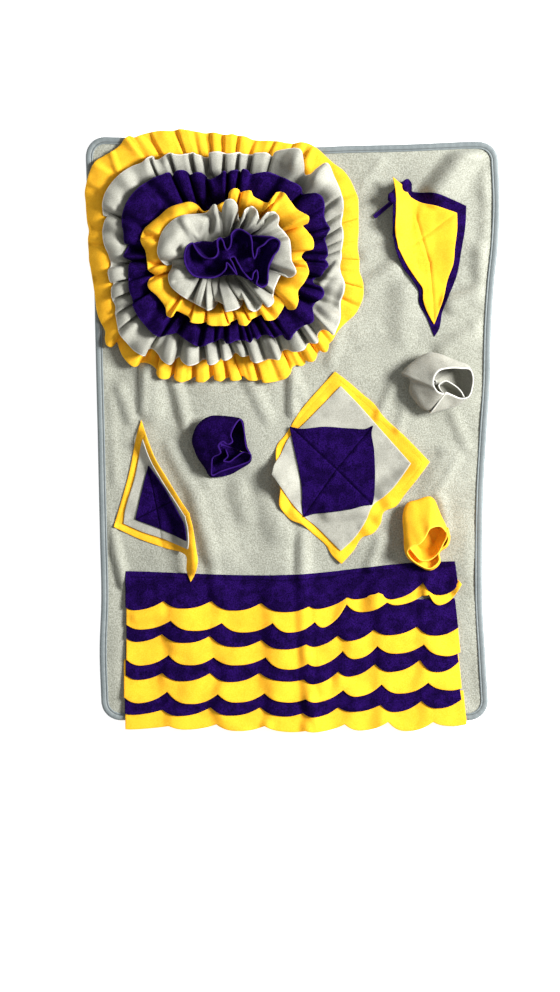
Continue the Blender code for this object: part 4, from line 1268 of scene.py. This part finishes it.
def standing_wall(rim_points):
    """A wall from a foot that follows the rim's smooth course up to the winding rim.

    Going up by t, the plan goes from the foot to the rim as t to the WALL_POWER.
    """
    rim = line_through(rim_points, WALL_GRID[0], closed=True)
    centre = np.array(BUNCH_CENTRE)
    foot = centre + (course_of(rim, BUNCH_COURSE) - centre) * BUNCH_DRAWN_IN
    t = np.linspace(0.0, 1.0, WALL_GRID[1])[None, :]
    plan = loft(foot, rim, t**WALL_POWER)
    low, high = WALL_HEIGHT
    z = low + (high - low) * t + t * wander(plan[..., 0], plan[..., 1], *WALL_UNEVEN, seed=50)
    return np.concatenate([plan + ROSETTE, z[..., None]], axis=-1)


def bunched_dome(outline):
    """A low crumpled dome from a small middle ring out to its outline, over the ring below.

    Going out by t, its height falls from the middle's to the edge's as the root of 1 - t squared.
    """
    edge = line_through(outline, DOME_GRID[0], closed=True)
    t = np.linspace(DOME_HOLE, 1.0, DOME_GRID[1])[None, :]
    plan = loft(np.full_like(edge, BUNCH_CENTRE), edge, t)
    low, high = DOME_HEIGHT
    z = low + (high - low) * np.sqrt(np.maximum(1.0 - t**2, 0.0) + DOME_ROUNDING)
    z = z + wander(plan[..., 0], plan[..., 1], *DOME_UNEVEN, seed=51)
    plan = plan + ROSETTE
    z = np.maximum(z, bilinear(heights, plan[..., 0], plan[..., 1]) + FLEECE)
    return np.concatenate([plan, z[..., None]], axis=-1)


bunch = cloth("ruffle_purple_bunch", bunched_dome(BUNCH_OUTLINE), FLEECE, wrap=True)
place(bunch, None, "purple")
wall = standing_wall(BUNCH_RIM)
wall = cloth("ruffle_purple_centre_cloth", wall, FLEECE, wrap=True, cut_highlight_fade=0.45)
place(wall, "ruffle_purple_centre", "purple")

# %% [markdown]
# ## Stacked squares and the kite
#
# Each stack is sewn down only at its middle, or along two crossing seams, so that a dog can
# push its nose under the corners. The corners and sides therefore curl and stand up. The
# sheets of a stack share one lifted surface, each a layer higher along the slope. Their
# fleece is lighter than that of the rosette.
#
# A patch blended from its four drawn sides (a Coons patch) fills the inside evenly, whatever
# the sides do. A narrow strap sticks out from under the kite's left corner.

# %% The centre squares
# sides: points from one corner up to the next: top, right, bottom, left. lift: ridges and
# furrows of the whole stack. seams: crossing seams, x, y to x, y. level: place in the stack
SQUARES = {}
CENTRE_LIFT = (
    (-24, -48, -16, -62, 30, 17), (-14, -62, -10, -92, 12, 4), (158, -52, 120, -76, 22, 8.0),
    (48, -100, 98, -94, 15, 5.5), (113, -95, 98, -96, 10, -1.5), (124, -92, 110, -108, 12, 3.5),
    (99, -125, 92, -118, 12, 2.5), (61, 70, 62, 50, 20, 2.5), (170, -60, 170, -16, 60, 7),
    (63, -160, 62, -146, 20, 3), (14, -113, 6, -100, 13, 4), (1, 5, 52, -42, 4.5, -1.0),
    (62, -52, 100, -90, 4.5, -1.0), (17, -104, 52, -53, 4.5, -1.0), (62, -41, 101, 6, 4.5, -1.0),
    (57, -47, 57, -46, 7, -1.0),
)
draw(
    SQUARES, "centre_square_yellow", colour="yellow", level=0, lift=CENTRE_LIFT, flat=(165.0, 165.0),
    seams=(
        (50, 58, 8, 10), (60, 62, 104, 22), (110, 12, 160, -37), (160, -42, 126, -84), (62, -153, 88, -124),
        (55, -150, 0, -102),
    ),
    sides=(
        ((55, 72), (73, 58), (89, 44), (103, 32), (110, 22), (141, -8)),
        ((170, -38), (152, -62), (138, -80), (130, -91), (114, -99), (110, -113), (99, -126), (89, -129),
         (77, -146)),
        ((63, -162), (53, -153), (43, -138), (28, -125), (15, -114), (1, -108), (-7, -100), (-12, -93),
         (-12, -69)),
        ((-17, -46), (-15, -17), (-6, -6), (1, 5), (10, 20), (20, 33), (35, 50)),
    ),
)
draw(
    SQUARES, "centre_square_grey", colour="grey", level=1, lift=CENTRE_LIFT, flat=(138.0, 138.0), seams=(),
    sides=(
        ((62, 54), (87, 28), (102, 11)),
        ((147, -40), (138, -53), (124, -71), (113, -81), (102, -89), (92, -110), (77, -132)),
        ((62, -146), (48, -132), (33, -117), (18, -105), (1, -86), (-12, -67)),
        ((-22, -53), (-19, -42), (-12, -31), (-1, -9), (14, 5), (33, 24)),
    ),
)
draw(
    SQUARES, "centre_square_purple", colour="purple", level=2, lift=CENTRE_LIFT, flat=(98.0, 98.0),
    seams=((1, 5, 57, -47), (57, -47, 100, -90), (17, -104, 57, -47), (57, -47, 101, 6)),
    sides=(
        ((0, 5), (7, 3), (43, 4.5), (75, 2.5), (94, 2.5)),
        ((101, 6), (99.5, 0), (102, -22), (103, -66), (101.5, -84)),
        ((100, -90), (93, -90.5), (75, -95), (48, -99), (25, -102)),
        ((17, -105), (15.5, -95), (15, -71), (11, -46), (4.5, -17)),
    ),
)

# %% The left squares
LEFT_LIFT = (
    (-171, -12, -149, -56, 22, 14), (-137, -76, -126, -98, 23, 17), (-120, -118, -116, -160, 20, 19),
    (-120, -172, -121, -182, 11, 4), (-205, -110, -214, -117, 14, 2), (-182, 12, -180, -6, 12, 1),
    (-160, -128, -156, -142, 7, -0.8),
)
draw(
    SQUARES, "left_square_yellow", colour="yellow", level=0, lift=LEFT_LIFT, flat=(112.0, 100.0),
    seams=((-158, -128, -155, -142), (-178, -6, -209, -112), (-209, -112, -130, -146)),
    sides=(
        ((-182, 13), (-172.5, -15), (-165, -33.5), (-149, -60), (-136.5, -80.5)),
        ((-123, -101), (-119, -117), (-115, -142), (-113, -162), (-115, -171)),
        ((-121.5, -184), (-126, -170), (-126, -153.5), (-155, -142), (-185.5, -131)),
        ((-215, -117), (-196, -50), (-187, -5)),
    ),
)
draw(
    SQUARES, "left_square_grey", colour="grey", level=1, lift=LEFT_LIFT, flat=(86.0, 80.0),
    seams=((-163, -95, -157, -131), (-201, -112, -189, -107)),
    sides=(
        ((-180, -11), (-172, -33), (-157, -60), (-138.5, -88.5)),
        ((-128, -105), (-125, -118), (-124, -128), (-124, -138)),
        ((-125, -144), (-156, -131), (-180, -123)),
        ((-203, -113), (-202, -103), (-189, -56), (-182, -20)),
    ),
)
draw(
    SQUARES, "left_square_purple", colour="purple", level=2, lift=LEFT_LIFT, flat=(66.0, 62.0),
    seams=(
        (-173, -44, -163, -95), (-163, -95, -158, -121), (-188, -108, -163, -95), (-163, -95, -140, -84),
    ),
    sides=(
        ((-173, -43), (-156, -67), (-137, -100)),
        ((-130, -113), (-128, -122)),
        ((-127, -134), (-157, -120)),
        ((-188.5, -108), (-181, -75)),
    ),
)

# %% The kite
KITE_LIFT = (
    (125, 306, 125, 262, 26, 19), (126, 244, 129, 221, 28, 9), (129, 221, 152, 184, 18, 3),
    (157, 281, 152, 262, 9, -1.5), (152, 262, 147, 244, 8, -1), (205, 262, 203, 200, 30, 4.5),
    (139, 218, 203, 266, 4.5, -0.8), (154, 264, 162, 234, 4.5, -0.8), (162, 234, 171, 205, 4.5, -0.8),
    (171, 205, 174.5, 164, 4.5, -0.8), (174.5, 164, 176, 136, 4.5, -0.8), (160, 208, 162, 200, 14, -3),
)
draw(
    SQUARES, "kite_purple", colour="purple", level=0,
    lift=KITE_LIFT + ((142, 304, 142, 298, 9, 9), (121, 286, 124, 282, 7, 5)), flat=(120.0, 106.0),
    seams=(),
    sides=(
        ((120, 288), (125, 292), (131, 300), (137, 303.5), (143, 307), (148, 303), (148.5, 293), (157, 291),
         (174, 290), (194, 284)),
        ((215, 275), (214, 252), (209, 221), (203, 189), (194, 166), (186, 146), (181.5, 124)),
        ((176.5, 116), (167, 140), (158, 157), (157, 172), (151, 183), (139, 199), (130, 219)),
        ((125.5, 240), (125.5, 258), (126, 270), (126, 277), (120, 281)),
    ),
)
draw(
    SQUARES, "kite_yellow", colour="yellow", level=1, lift=KITE_LIFT, flat=(104.0, 92.0),
    seams=(
        (139, 218, 203, 266), (154, 264, 162, 234), (162, 234, 171, 205), (171, 205, 174.5, 164),
        (174.5, 164, 176, 136),
    ),
    sides=(
        ((125.5, 309), (132.5, 303), (141, 296), (146, 287), (157, 280), (180, 274)),
        ((203.5, 266), (203.5, 246), (201, 226), (199, 205), (192, 185), (187.5, 164), (181.5, 146)),
        ((176, 131), (167, 148), (163, 160), (162, 175), (155, 185), (143, 203)),
        ((132.5, 223), (128.5, 244), (129.5, 268), (128.5, 295)),
    ),
)

# %% A patch and its place in the stack
THIN_FLEECE = 1.4  # millimetres, the lighter fleece of squares and strips
THIN_HIGHLIGHT_FADE = 1.2  # how much weaker the painted highlight on its cut edge is, as a distance from the edge
LAYER = THIN_FLEECE + 0.4  # from one layer to the next
LAYER_GAP = 0.1  # under the lowest
DEEPEST = -1.5  # millimetres that a furrow may go into the ground
SLOPE_STEP = 0.4  # millimetres to each side over which a slope is measured


def patch(sides, count):
    """Points inside four sides: the blend of the two pairs less the blend of the corners."""
    first = [side[0] for side in sides]
    lines = [line_through([*side, first[(k + 1) % 4]], count) for k, side in enumerate(sides)]
    top, right, bottom, left = lines[0], lines[1], lines[2][::-1], lines[3][::-1]
    u = np.linspace(0.0, 1.0, count)[:, None, None]
    v = np.linspace(0.0, 1.0, count)[None, :, None]
    corners = (1 - u) * ((1 - v) * top[0] + v * bottom[0]) + u * ((1 - v) * top[-1] + v * bottom[-1])
    between = (1 - v) * top[:, None] + v * bottom[:, None] + (1 - u) * left[None] + u * right[None]
    return between - corners


def stack_surface(x, y, lift):
    """The ground with a stack's ridges and furrows on it."""
    return ground(x, y) + np.maximum(ridges(x, y, lift), DEEPEST)


def stack_height(x, y, level, lift):
    """Height of a layer's middle: the stack's surface and the layers below it, square to the slope."""
    step = SLOPE_STEP
    slope_x = (stack_surface(x + step, y, lift) - stack_surface(x - step, y, lift)) / (2 * step)
    slope_y = (stack_surface(x, y + step, lift) - stack_surface(x, y - step, lift)) / (2 * step)
    spread = np.sqrt(1.0 + slope_x**2 + slope_y**2)
    return stack_surface(x, y, lift) + LAYER_GAP + (0.5 * THIN_FLEECE + level * LAYER) * spread


print("middle of the third layer, on flat ground:", LAYER_GAP + 0.5 * THIN_FLEECE + 2 * LAYER, "mm up")

# %% The squares and the kite
SQUARE_STEPS = {"yellow": 58, "grey": 58, "purple": 80}
SEAM_DEPTH = {"yellow": 0.45, "grey": 0.5, "purple": 0.7}
SEAM_HALF_WIDTH = 3.0
SQUARE_UNEVEN = (0.10, 30.0)  # height and size of the unevenness between seams
TAB_LINE = ((124, 279), (113, 270), (103.5, 262))
TAB_WIDTH = 3.2
TAB_GRID = (16, 4)  # stations along it, and points across it
TAB_RISE = (3.0, 5.0)  # its free end's height, and how much higher the kite holds the other


def make_square(name, colour, level, lift, seams, sides):
    """One sheet of a stack, furrowed along its seams and gently uneven between them."""
    plan = patch(sides, SQUARE_STEPS[colour])
    x, y = plan[..., 0], plan[..., 1]
    away = np.full(x.shape, NO_SEAM)
    for seam in seams:
        away = np.minimum(away, from_line(x, y, seam))
    furrow = SEAM_DEPTH[colour] * hill(away, SEAM_HALF_WIDTH)
    uneven = wander(x, y, *SQUARE_UNEVEN, seed=len(name))
    z = stack_height(x, y, level, lift) - furrow + uneven
    return cloth(name + "_cloth", np.stack([x, y, z], -1), THIN_FLEECE, seams=away, cut_highlight_fade=THIN_HIGHLIGHT_FADE)


def make_tab():
    """A short strap from under the kite's left corner, along a line and across its width."""
    line = line_through(TAB_LINE, TAB_GRID[0])
    side = left_of(np.gradient(line, axis=0))
    across = 0.5 * TAB_WIDTH * np.linspace(-1.0, 1.0, TAB_GRID[1])
    plan = line[:, None] + side[:, None] * across[None, :, None]
    x, y = plan[..., 0], plan[..., 1]
    free, held = TAB_RISE
    rise = free + held * np.linspace(1.0, 0.0, TAB_GRID[0])[:, None] ** 2
    return cloth("kite_tab", np.stack([x, y, ground(x, y) + rise], -1), FLEECE)


tab = place(make_tab(), None, "purple")
for name, square in SQUARES.items():
    flat = square.pop("flat")
    place(make_square(name, **square), name, square["colour"])

# %% [markdown]
# ## The pocket rolls
#
# A roll is a strip of fleece wound loosely round itself, with its bottom turned in and sewn
# down, so it stands up as an open rose. Its section is simple: the bunched bottom, a narrow
# foot, a belly and a rim. The rim wanders a lot, with folds and pinched corners, so it is
# drawn as stations from the inner end to the outer end, each with the belly below it.

# %% The rolls' stations
# stations: rim x, y, z and belly x, y, from the strip's inner end to its outer end
ROLLS = {}
draw(
    ROLLS, "roll_grey", colour="grey", foot=(174, 59), flat=(52.0, 260.0),
    stations=(
        (213, 39.8, 24, 205.7, 41.7), (208.1, 48.3, 25, 202.8, 47.4), (198.9, 56.3, 26, 194.9, 53.6),
        (188.8, 60.6, 27, 185.2, 57), (181.2, 55.1, 28, 178.7, 50.8), (183.9, 48.7, 31, 177.3, 30.9),
        (186.4, 45, 38, 165.8, 25.8), (181.8, 45.9, 40, 155.9, 33.1), (178.7, 47.7, 41, 146.5, 47.4),
        (176.9, 50.2, 42, 147, 61.6), (175, 53.2, 43, 137.4, 69), (174.1, 57.5, 43, 138.6, 73),
        (175, 64.9, 43, 149.9, 83.8), (181.2, 72.8, 42, 165.8, 93.5), (192.8, 75.9, 40, 178.9, 94.1),
        (208.1, 75.9, 37, 200, 85.5), (219.4, 74.1, 34, 215.9, 78.7), (222.5, 66.7, 32, 219.9, 67.8),
        (222.2, 54.5, 31, 220.5, 54.3), (216, 40.4, 29, 215.4, 43.4), (208.1, 39.2, 30, 205.7, 33.1),
        (198.3, 42.8, 33, 188.6, 26.4), (189.7, 46.5, 38, 170.4, 21.5),
    ),
)
draw(
    ROLLS, "roll_purple", colour="purple", foot=(-88, -16), flat=(49.0, 215.0),
    stations=(
        (-78, -24.5, 22, -80, -22), (-76, -31, 22, -78, -28), (-81, -37, 22, -84, -34),
        (-75, -38, 22, -76, -36), (-66, -32, 22, -67, -31), (-56, -26, 21, -57, -27),
        (-48, -29, 20, -50, -31), (-49, -35.5, 16, -50, -37), (-61, -41.6, 14, -64, -47),
        (-76, -46.5, 14, -75, -53), (-86, -50, 14, -85, -55), (-94, -54, 14, -95, -55),
        (-95.5, -43, 28, -104, -44), (-94, -33, 32, -110, -36), (-84.5, -27, 36, -115, -26),
        (-87, -18, 38, -119, -11), (-82, -13.5, 39, -116, 0), (-75, -17, 40, -110, 9),
        (-70, -13.5, 40, -104, 14), (-72, -6, 39, -98, 17), (-68.5, 4, 38, -88, 18),
        (-61, 13.5, 34, -62, 13.5), (-56, -1, 30, -57, -4), (-55, -12, 28, -55, -14),
        (-53, -21, 26, -53, -22), (-50, -26, 24, -50, -27),
    ),
)
draw(
    ROLLS, "roll_yellow", colour="yellow", foot=(164, -112), flat=(47.0, 250.0),
    stations=(
        (146, -143, 24, 148, -138), (151, -149, 22, 152, -145), (160, -158, 20, 160, -152),
        (169, -158, 20, 168, -152), (178, -152, 22, 177, -147), (187, -137, 27, 184, -134),
        (191, -127.5, 30, 190, -121), (184, -117, 32, 183, -102), (171, -119, 38, 173, -82),
        (163, -132, 38, 154, -86), (157, -138, 38, 143, -90), (148, -141, 36, 138, -106),
        (143, -146, 34, 139.5, -125), (146, -154, 26, 141, -147), (157, -163, 20, 152, -159),
        (171, -168, 16, 171, -168), (181.8, -158.5, 18, 182.4, -159.1), (181.5, -147.2, 22, 181.8, -147.5),
        (190.6, -138.9, 25, 191.2, -139.5), (193.1, -131.0, 28, 194.0, -130.4),
        (190.6, -123.6, 32, 192.2, -118.7),
    ),
)

# %% The pocket rolls
ROLL_FLEECE = 1.6
ROLL_STATIONS = 300
ROLL_ROWS = 18
ROLL_GAP = 1.2  # from the ground to the middle of the cloth
ROLL_UNEVEN = (0.4, 18.0)  # height and size of the cloth's unevenness
BOTTOM_ROWS = 4
BOTTOM_RISE = 9.0  # millimetres by which the turned-in bottom bunches up
BOTTOM_SHARE = 0.14  # how far in the turned-in bottom of the strip reaches
BOTTOM_LAST = 0.15  # its last row before the foot, as a share of the way in
FOOT_SHARE = 0.72  # how far out the foot stands, as a share of the belly
BELLY_AT = 0.42  # the belly's place up the wall, and its height as a share of the rim's


def roll_wall(foot, stations):
    """Middle points from the turned-in bottom by the foot and the belly to the rim."""
    stations = np.array(stations, float)
    run = run_along(stations[:, :3])
    rim = curve(np.linspace(0.0, run[-1], ROLL_STATIONS), run, stations)
    middle = np.array(foot, float)
    base = middle + (rim[:, 3:] - middle) * FOOT_SHARE
    level = ground(base[:, 0], base[:, 1]) + ROLL_GAP
    low = np.column_stack([base, level])
    belly = np.column_stack([rim[:, 3:], level + BELLY_AT * (rim[:, 2] - level)])
    up = np.linspace(0.0, 1.0, ROLL_ROWS)
    walls = curve(up, [0.0, BELLY_AT, 1.0], np.stack([low, belly, rim[:, :3]]))
    inner = np.column_stack([middle + (base - middle) * BOTTOM_SHARE, level + BOTTOM_RISE])
    bottom = low + (inner - low) * np.linspace(1.0, BOTTOM_LAST, BOTTOM_ROWS)[:, None, None]
    walls = np.concatenate([bottom, walls])
    walls[..., 2] += wander(walls[..., 0], walls[..., 1], *ROLL_UNEVEN, seed=3)
    return walls.transpose(1, 0, 2)


for name, roll in ROLLS.items():
    piece = cloth(name + "_cloth", roll_wall(roll["foot"], roll["stations"]), ROLL_FLEECE)
    place(piece, name, roll["colour"])

# %% [markdown]
# ## The scalloped strips
#
# Eight strips are sewn on in rows, each along its top edge, each lying over the next one
# down. The free edges are cut in scallops. A scallop is not even: it drops quickly from one
# cusp and climbs slowly to the next, and between the two the cloth stands a little off the
# strip below, where a treat hides.
#
# Otherwise the strips lie nearly flat, but the mat has been folded along them. A few soft folds
# run down through all eight, so they are one height function that every strip reads: each
# rises briskly to the right and then falls gently to the next.

# %% The strips' cusps
# Each cusp's x and y and the y of the belly after it; the last row is only the right end
STRIPS = {
    "strip_purple_1": (
        (-200.7, -216.2, -218.1), (-155.4, -208.1, -217.1), (-96.7, -208.1, -219.8), (-36, -210.5, -221.6),
        (22.8, -214.7, -215.4), (69.8, -203.2, -204.9), (107.7, -197.6, -203.9), (161.6, -185.3, -200.8),
        (205.1, -189.7, 0),
    ),
    "strip_yellow_1": (
        (-199.5, -237.5, -242.3), (-146.9, -232.1, -244.6), (-84.5, -235, -246.5), (-22, -235, -246.4),
        (29.4, -233.8, -236.5), (68.1, -212.2, -221.4), (117.5, -209.8, -211.7), (160.8, -201.5, -201.5),
        (169, -200.5, -211.5), (209.3, -188.5, 0),
    ),
    "strip_purple_2": (
        (-199.5, -253.9, -257.2), (-157.4, -248.5, -259.2), (-98.4, -250.9, -264.4),
        (-35.5, -255.8, -267.2), (19.6, -260.7, -262.1), (57.5, -250.4, -255.8), (101.6, -243.1, -249.2),
        (154.7, -239.4, -250.2), (205.1, -241.1, 0),
    ),
    "strip_yellow_2": (
        (-199.5, -280.3, -286.2), (-149.3, -274.2, -286.6), (-94.2, -277.1, -286.6),
        (-30.6, -277.1, -291.9), (20.8, -284.7, -285), (63.6, -269.3, -278.2), (105.8, -263.2, -272.2),
        (162.8, -261.2, -275.1), (207.6, -271, 0),
    ),
    "strip_purple_3": (
        (-200.2, -299, -304), (-157, -296, -306), (-98, -296, -307), (-38, -296, -306), (16, -304, -308),
        (58, -294, -299), (103, -285, -294), (158, -280, -295), (205.6, -283, 0),
    ),
    "strip_yellow_3": (
        (-202.4, -326, -332), (-151, -319, -334), (-89, -322, -332), (-32, -321, -332), (18, -328, -330),
        (64, -317, -324), (111, -310, -321), (168, -308, -317), (209.3, -315, 0),
    ),
    "strip_purple_4": (
        (-201.2, -346, -346), (-157, -341, -348), (-98, -338, -348), (-37, -338, -349), (15, -345, -349),
        (58, -338, -343), (110, -335, -343), (160, -330, -339), (208.8, -329, 0),
    ),
    "strip_yellow_4": (
        (-200.7, -365, -364), (-149, -361, -365), (-91, -359, -367), (-32, -361, -368), (18, -367, -367),
        (66, -359, -366), (119, -356, -367), (174, -356, -361), (215.4, -359, 0),
    ),
}
# Ridges and furrows of single strips: x, y to x, y, half width, height
STRIP_LIFT = {
    "strip_yellow_1": (
        (102, -214, 107, -194, 19, 4.5), (166, -202, 168, -184, 13, 4), (207, -194, 208, -180, 13, 6),
        (-187, -228, -160, -221, 13, 3.5),
    ),
    "strip_purple_1": (
        (106, -192, 110, -180, 17, 3.5), (166, -192, 168, -170, 12, 4), (203, -190, 203, -168, 12, 3),
    ),
    "strip_yellow_4": (
        (20, -369, 19, -361, 10, 3), (-30, -372, -29, -361, 11, 3),
    ),
}
print("scallops:", {name: len(rows) - 1 for name, rows in STRIPS.items()})

# %% The folds through the strips
# Each fold's x, and the rise from its left to its right
FOLDS = ((-151, 3.2), (-90, 3.6), (-29, 3.6), (22, 2.2), (61, 3.0), (104, 2.6), (158, 2.8))
FOLDS_END = 215
FOLD_HALF = 8.0  # millimetres, half of the way over which a fold rises
FOLD_WANDER = (4.0, 70.0)  # how far a fold leaves its straight line, and over what length
FOLD_UNEVEN = (0.35, 45.0)  # by what share it gets higher or lower, and over what length


def folds(x, y):
    """Sum of folds, each a short rise to the right and then a gentle fall to the next."""
    moved = x + wander(x, y, *FOLD_WANDER, seed=90)
    height = np.zeros(x.shape)
    ends = [at for at, rise in FOLDS[1:]] + [FOLDS_END]
    for (at, rise), end in zip(FOLDS, ends):
        up = smooth((moved - at + FOLD_HALF) / (2.0 * FOLD_HALF))
        down = smooth((moved - at - FOLD_HALF) / (end - at - 2.0 * FOLD_HALF))
        height += rise * (up - down)
    return height * (1.0 + wander(x, y, *FOLD_UNEVEN, seed=91))


print("folds:", len(FOLDS))

# %% The scalloped strips
STRIP_PITCH = 21.6
STRIP_SLOPE = 0.085  # millimetres that a strip climbs for each millimetre down the mat
STRIP_TOP_LEVEL = -172.0  # y of the first strip's top edge, and how that edge wanders
STRIP_TOP_X = (-203, 11, 150, 203)
STRIP_TOP_Y = (-172, -176, -162, -160)
STRIP_SKEW_LOSS = 0.08  # share of that wandering that each further strip loses
STRIP_ROWS = 15
STRIP_GAP = 1.2  # from the ground to the middle of the cloth
STEPS_PER_SCALLOP = 30
SCALLOP_AT = (0, 0.07, 0.16, 0.28, 0.44, 0.60, 0.76, 0.89, 1)
SCALLOP = (0, 0.36, 0.70, 0.94, 1.0, 0.93, 0.70, 0.36, 0)
CUSP_SHIFT = 0.8  # millimetres that each inner cusp lies further right
EDGE_IN = 0.6  # share of the thickness that the round cut edge stands out
BELLY_LIFT = 0.5  # how far a scallop stands off, and how that differs from one to the next
BELLY_RANGE = (0.6, 1.3)
TAPER = 4.0  # millimetres by which a strip's right end leans in at its top
TAPER_FROM = 120.0  # x from which it does, and the way over which it gets there
TAPER_OVER = 85.0
GROUND_ENDS = -340.0  # y below which a strip hangs on over the tape at the same height
FOLDS_GROW = 25.0  # millimetres below the first top edge over which the folds grow
LIFTS_GROW = 0.5  # share of a strip's height over which its own lifts grow
HEM = 3.0  # millimetres from a strip's top edge to the line that sews it down
HEM_FAINT = 0.7  # millimetres added to the distance from that line, so it is faint


def make_strip(name, order, rows, lift):
    """A strip from its sewn top edge to its scalloped edge.

    Along a scallop s goes from 0 to 1, and t from 0 at the sewn edge to 1 at the cut one. The
    cut edge is the chord between the cusps plus the belly's depth times the scallop's curve.
    """
    rows = np.array(rows, float)
    rows[1:-1, 0] += CUSP_SHIFT
    count = len(rows) - 1
    place_in = np.arange(count * STEPS_PER_SCALLOP + 1) / STEPS_PER_SCALLOP
    k = np.minimum(place_in.astype(int), count - 1)
    s = place_in - k
    x, chord = (rows[k, :2] + (rows[k + 1, :2] - rows[k, :2]) * s[:, None]).T
    deep = rows[k, 2] - 0.5 * (rows[k, 1] + rows[k + 1, 1])
    free = chord + deep * curve(s, SCALLOP_AT, SCALLOP) + EDGE_IN * THIN_FLEECE
    skew = curve(x, STRIP_TOP_X, STRIP_TOP_Y) - STRIP_TOP_LEVEL
    top = STRIP_TOP_LEVEL - order * STRIP_PITCH + skew * (1.0 - STRIP_SKEW_LOSS * order)
    t = np.linspace(0.0, 1.0, STRIP_ROWS)
    y = top[:, None] + (free - top)[:, None] * t
    x = x[:, None] - TAPER * smooth((x[:, None] - TAPER_FROM) / TAPER_OVER) * (1.0 - t)
    strength = np.random.default_rng(60 + order).uniform(*BELLY_RANGE, count)[k]
    z = ground(x, np.maximum(y, GROUND_ENDS)) + STRIP_GAP + STRIP_SLOPE * (top[:, None] - y)
    z = z + BELLY_LIFT * (strength * np.sin(np.pi * s))[:, None] * t
    below_top = STRIP_TOP_LEVEL + skew[:, None] - y
    z = z + folds(x, y) * smooth(below_top / FOLDS_GROW) + ridges(x, y, lift) * smooth(t / LIFTS_GROW)
    hem = np.tile(HEM_FAINT + np.abs(t - HEM / STRIP_PITCH) * STRIP_PITCH, (len(top), 1))
    return cloth(name + "_cloth", np.stack([x, y, z], axis=-1), THIN_FLEECE, seams=hem, cut_highlight_fade=THIN_HIGHLIGHT_FADE)


for order, (name, rows) in enumerate(STRIPS.items()):
    colour = "yellow" if "yellow" in name else "purple"
    piece = make_strip(name, order, rows, STRIP_LIFT.get(name, ()))
    place(piece, name, colour)

# %% [markdown]
# ## The floor
#
# The mat lies on a wide pale floor, a tenth of a millimetre below it, which catches the soft
# shadow at its left side. A real one would be a white table under the same lamp. The floor also
# glows a little, because a white table in a bright room is lit from all sides, and a single
# lamp and a pale world would leave it grey.

# %% The floor
FLOOR_SIZE = 12.0  # metres
FLOOR_DROP = 1e-4
FLOOR_LOOK = {
    "Base Color": (0.86, 0.86, 0.86, 1.0),
    "Roughness": 0.9,
    "Emission Color": WHITE,
    "Emission Strength": 0.75,
}


def make_floor():
    """A wide pale floor just under the mat."""
    corner = 0.5 * FLOOR_SIZE
    corners = ((-corner, -corner), (corner, -corner), (corner, corner), (-corner, corner))
    floor = new_mesh("floor", [(x, y, -FLOOR_DROP) for x, y in corners], [(0, 1, 2, 3)])
    paint, tree, shader = new_material("floor")
    feed(tree, shader, FLOOR_LOOK)
    floor.data.materials.append(paint)


make_floor()
print("floor:", FLOOR_SIZE, "m wide")
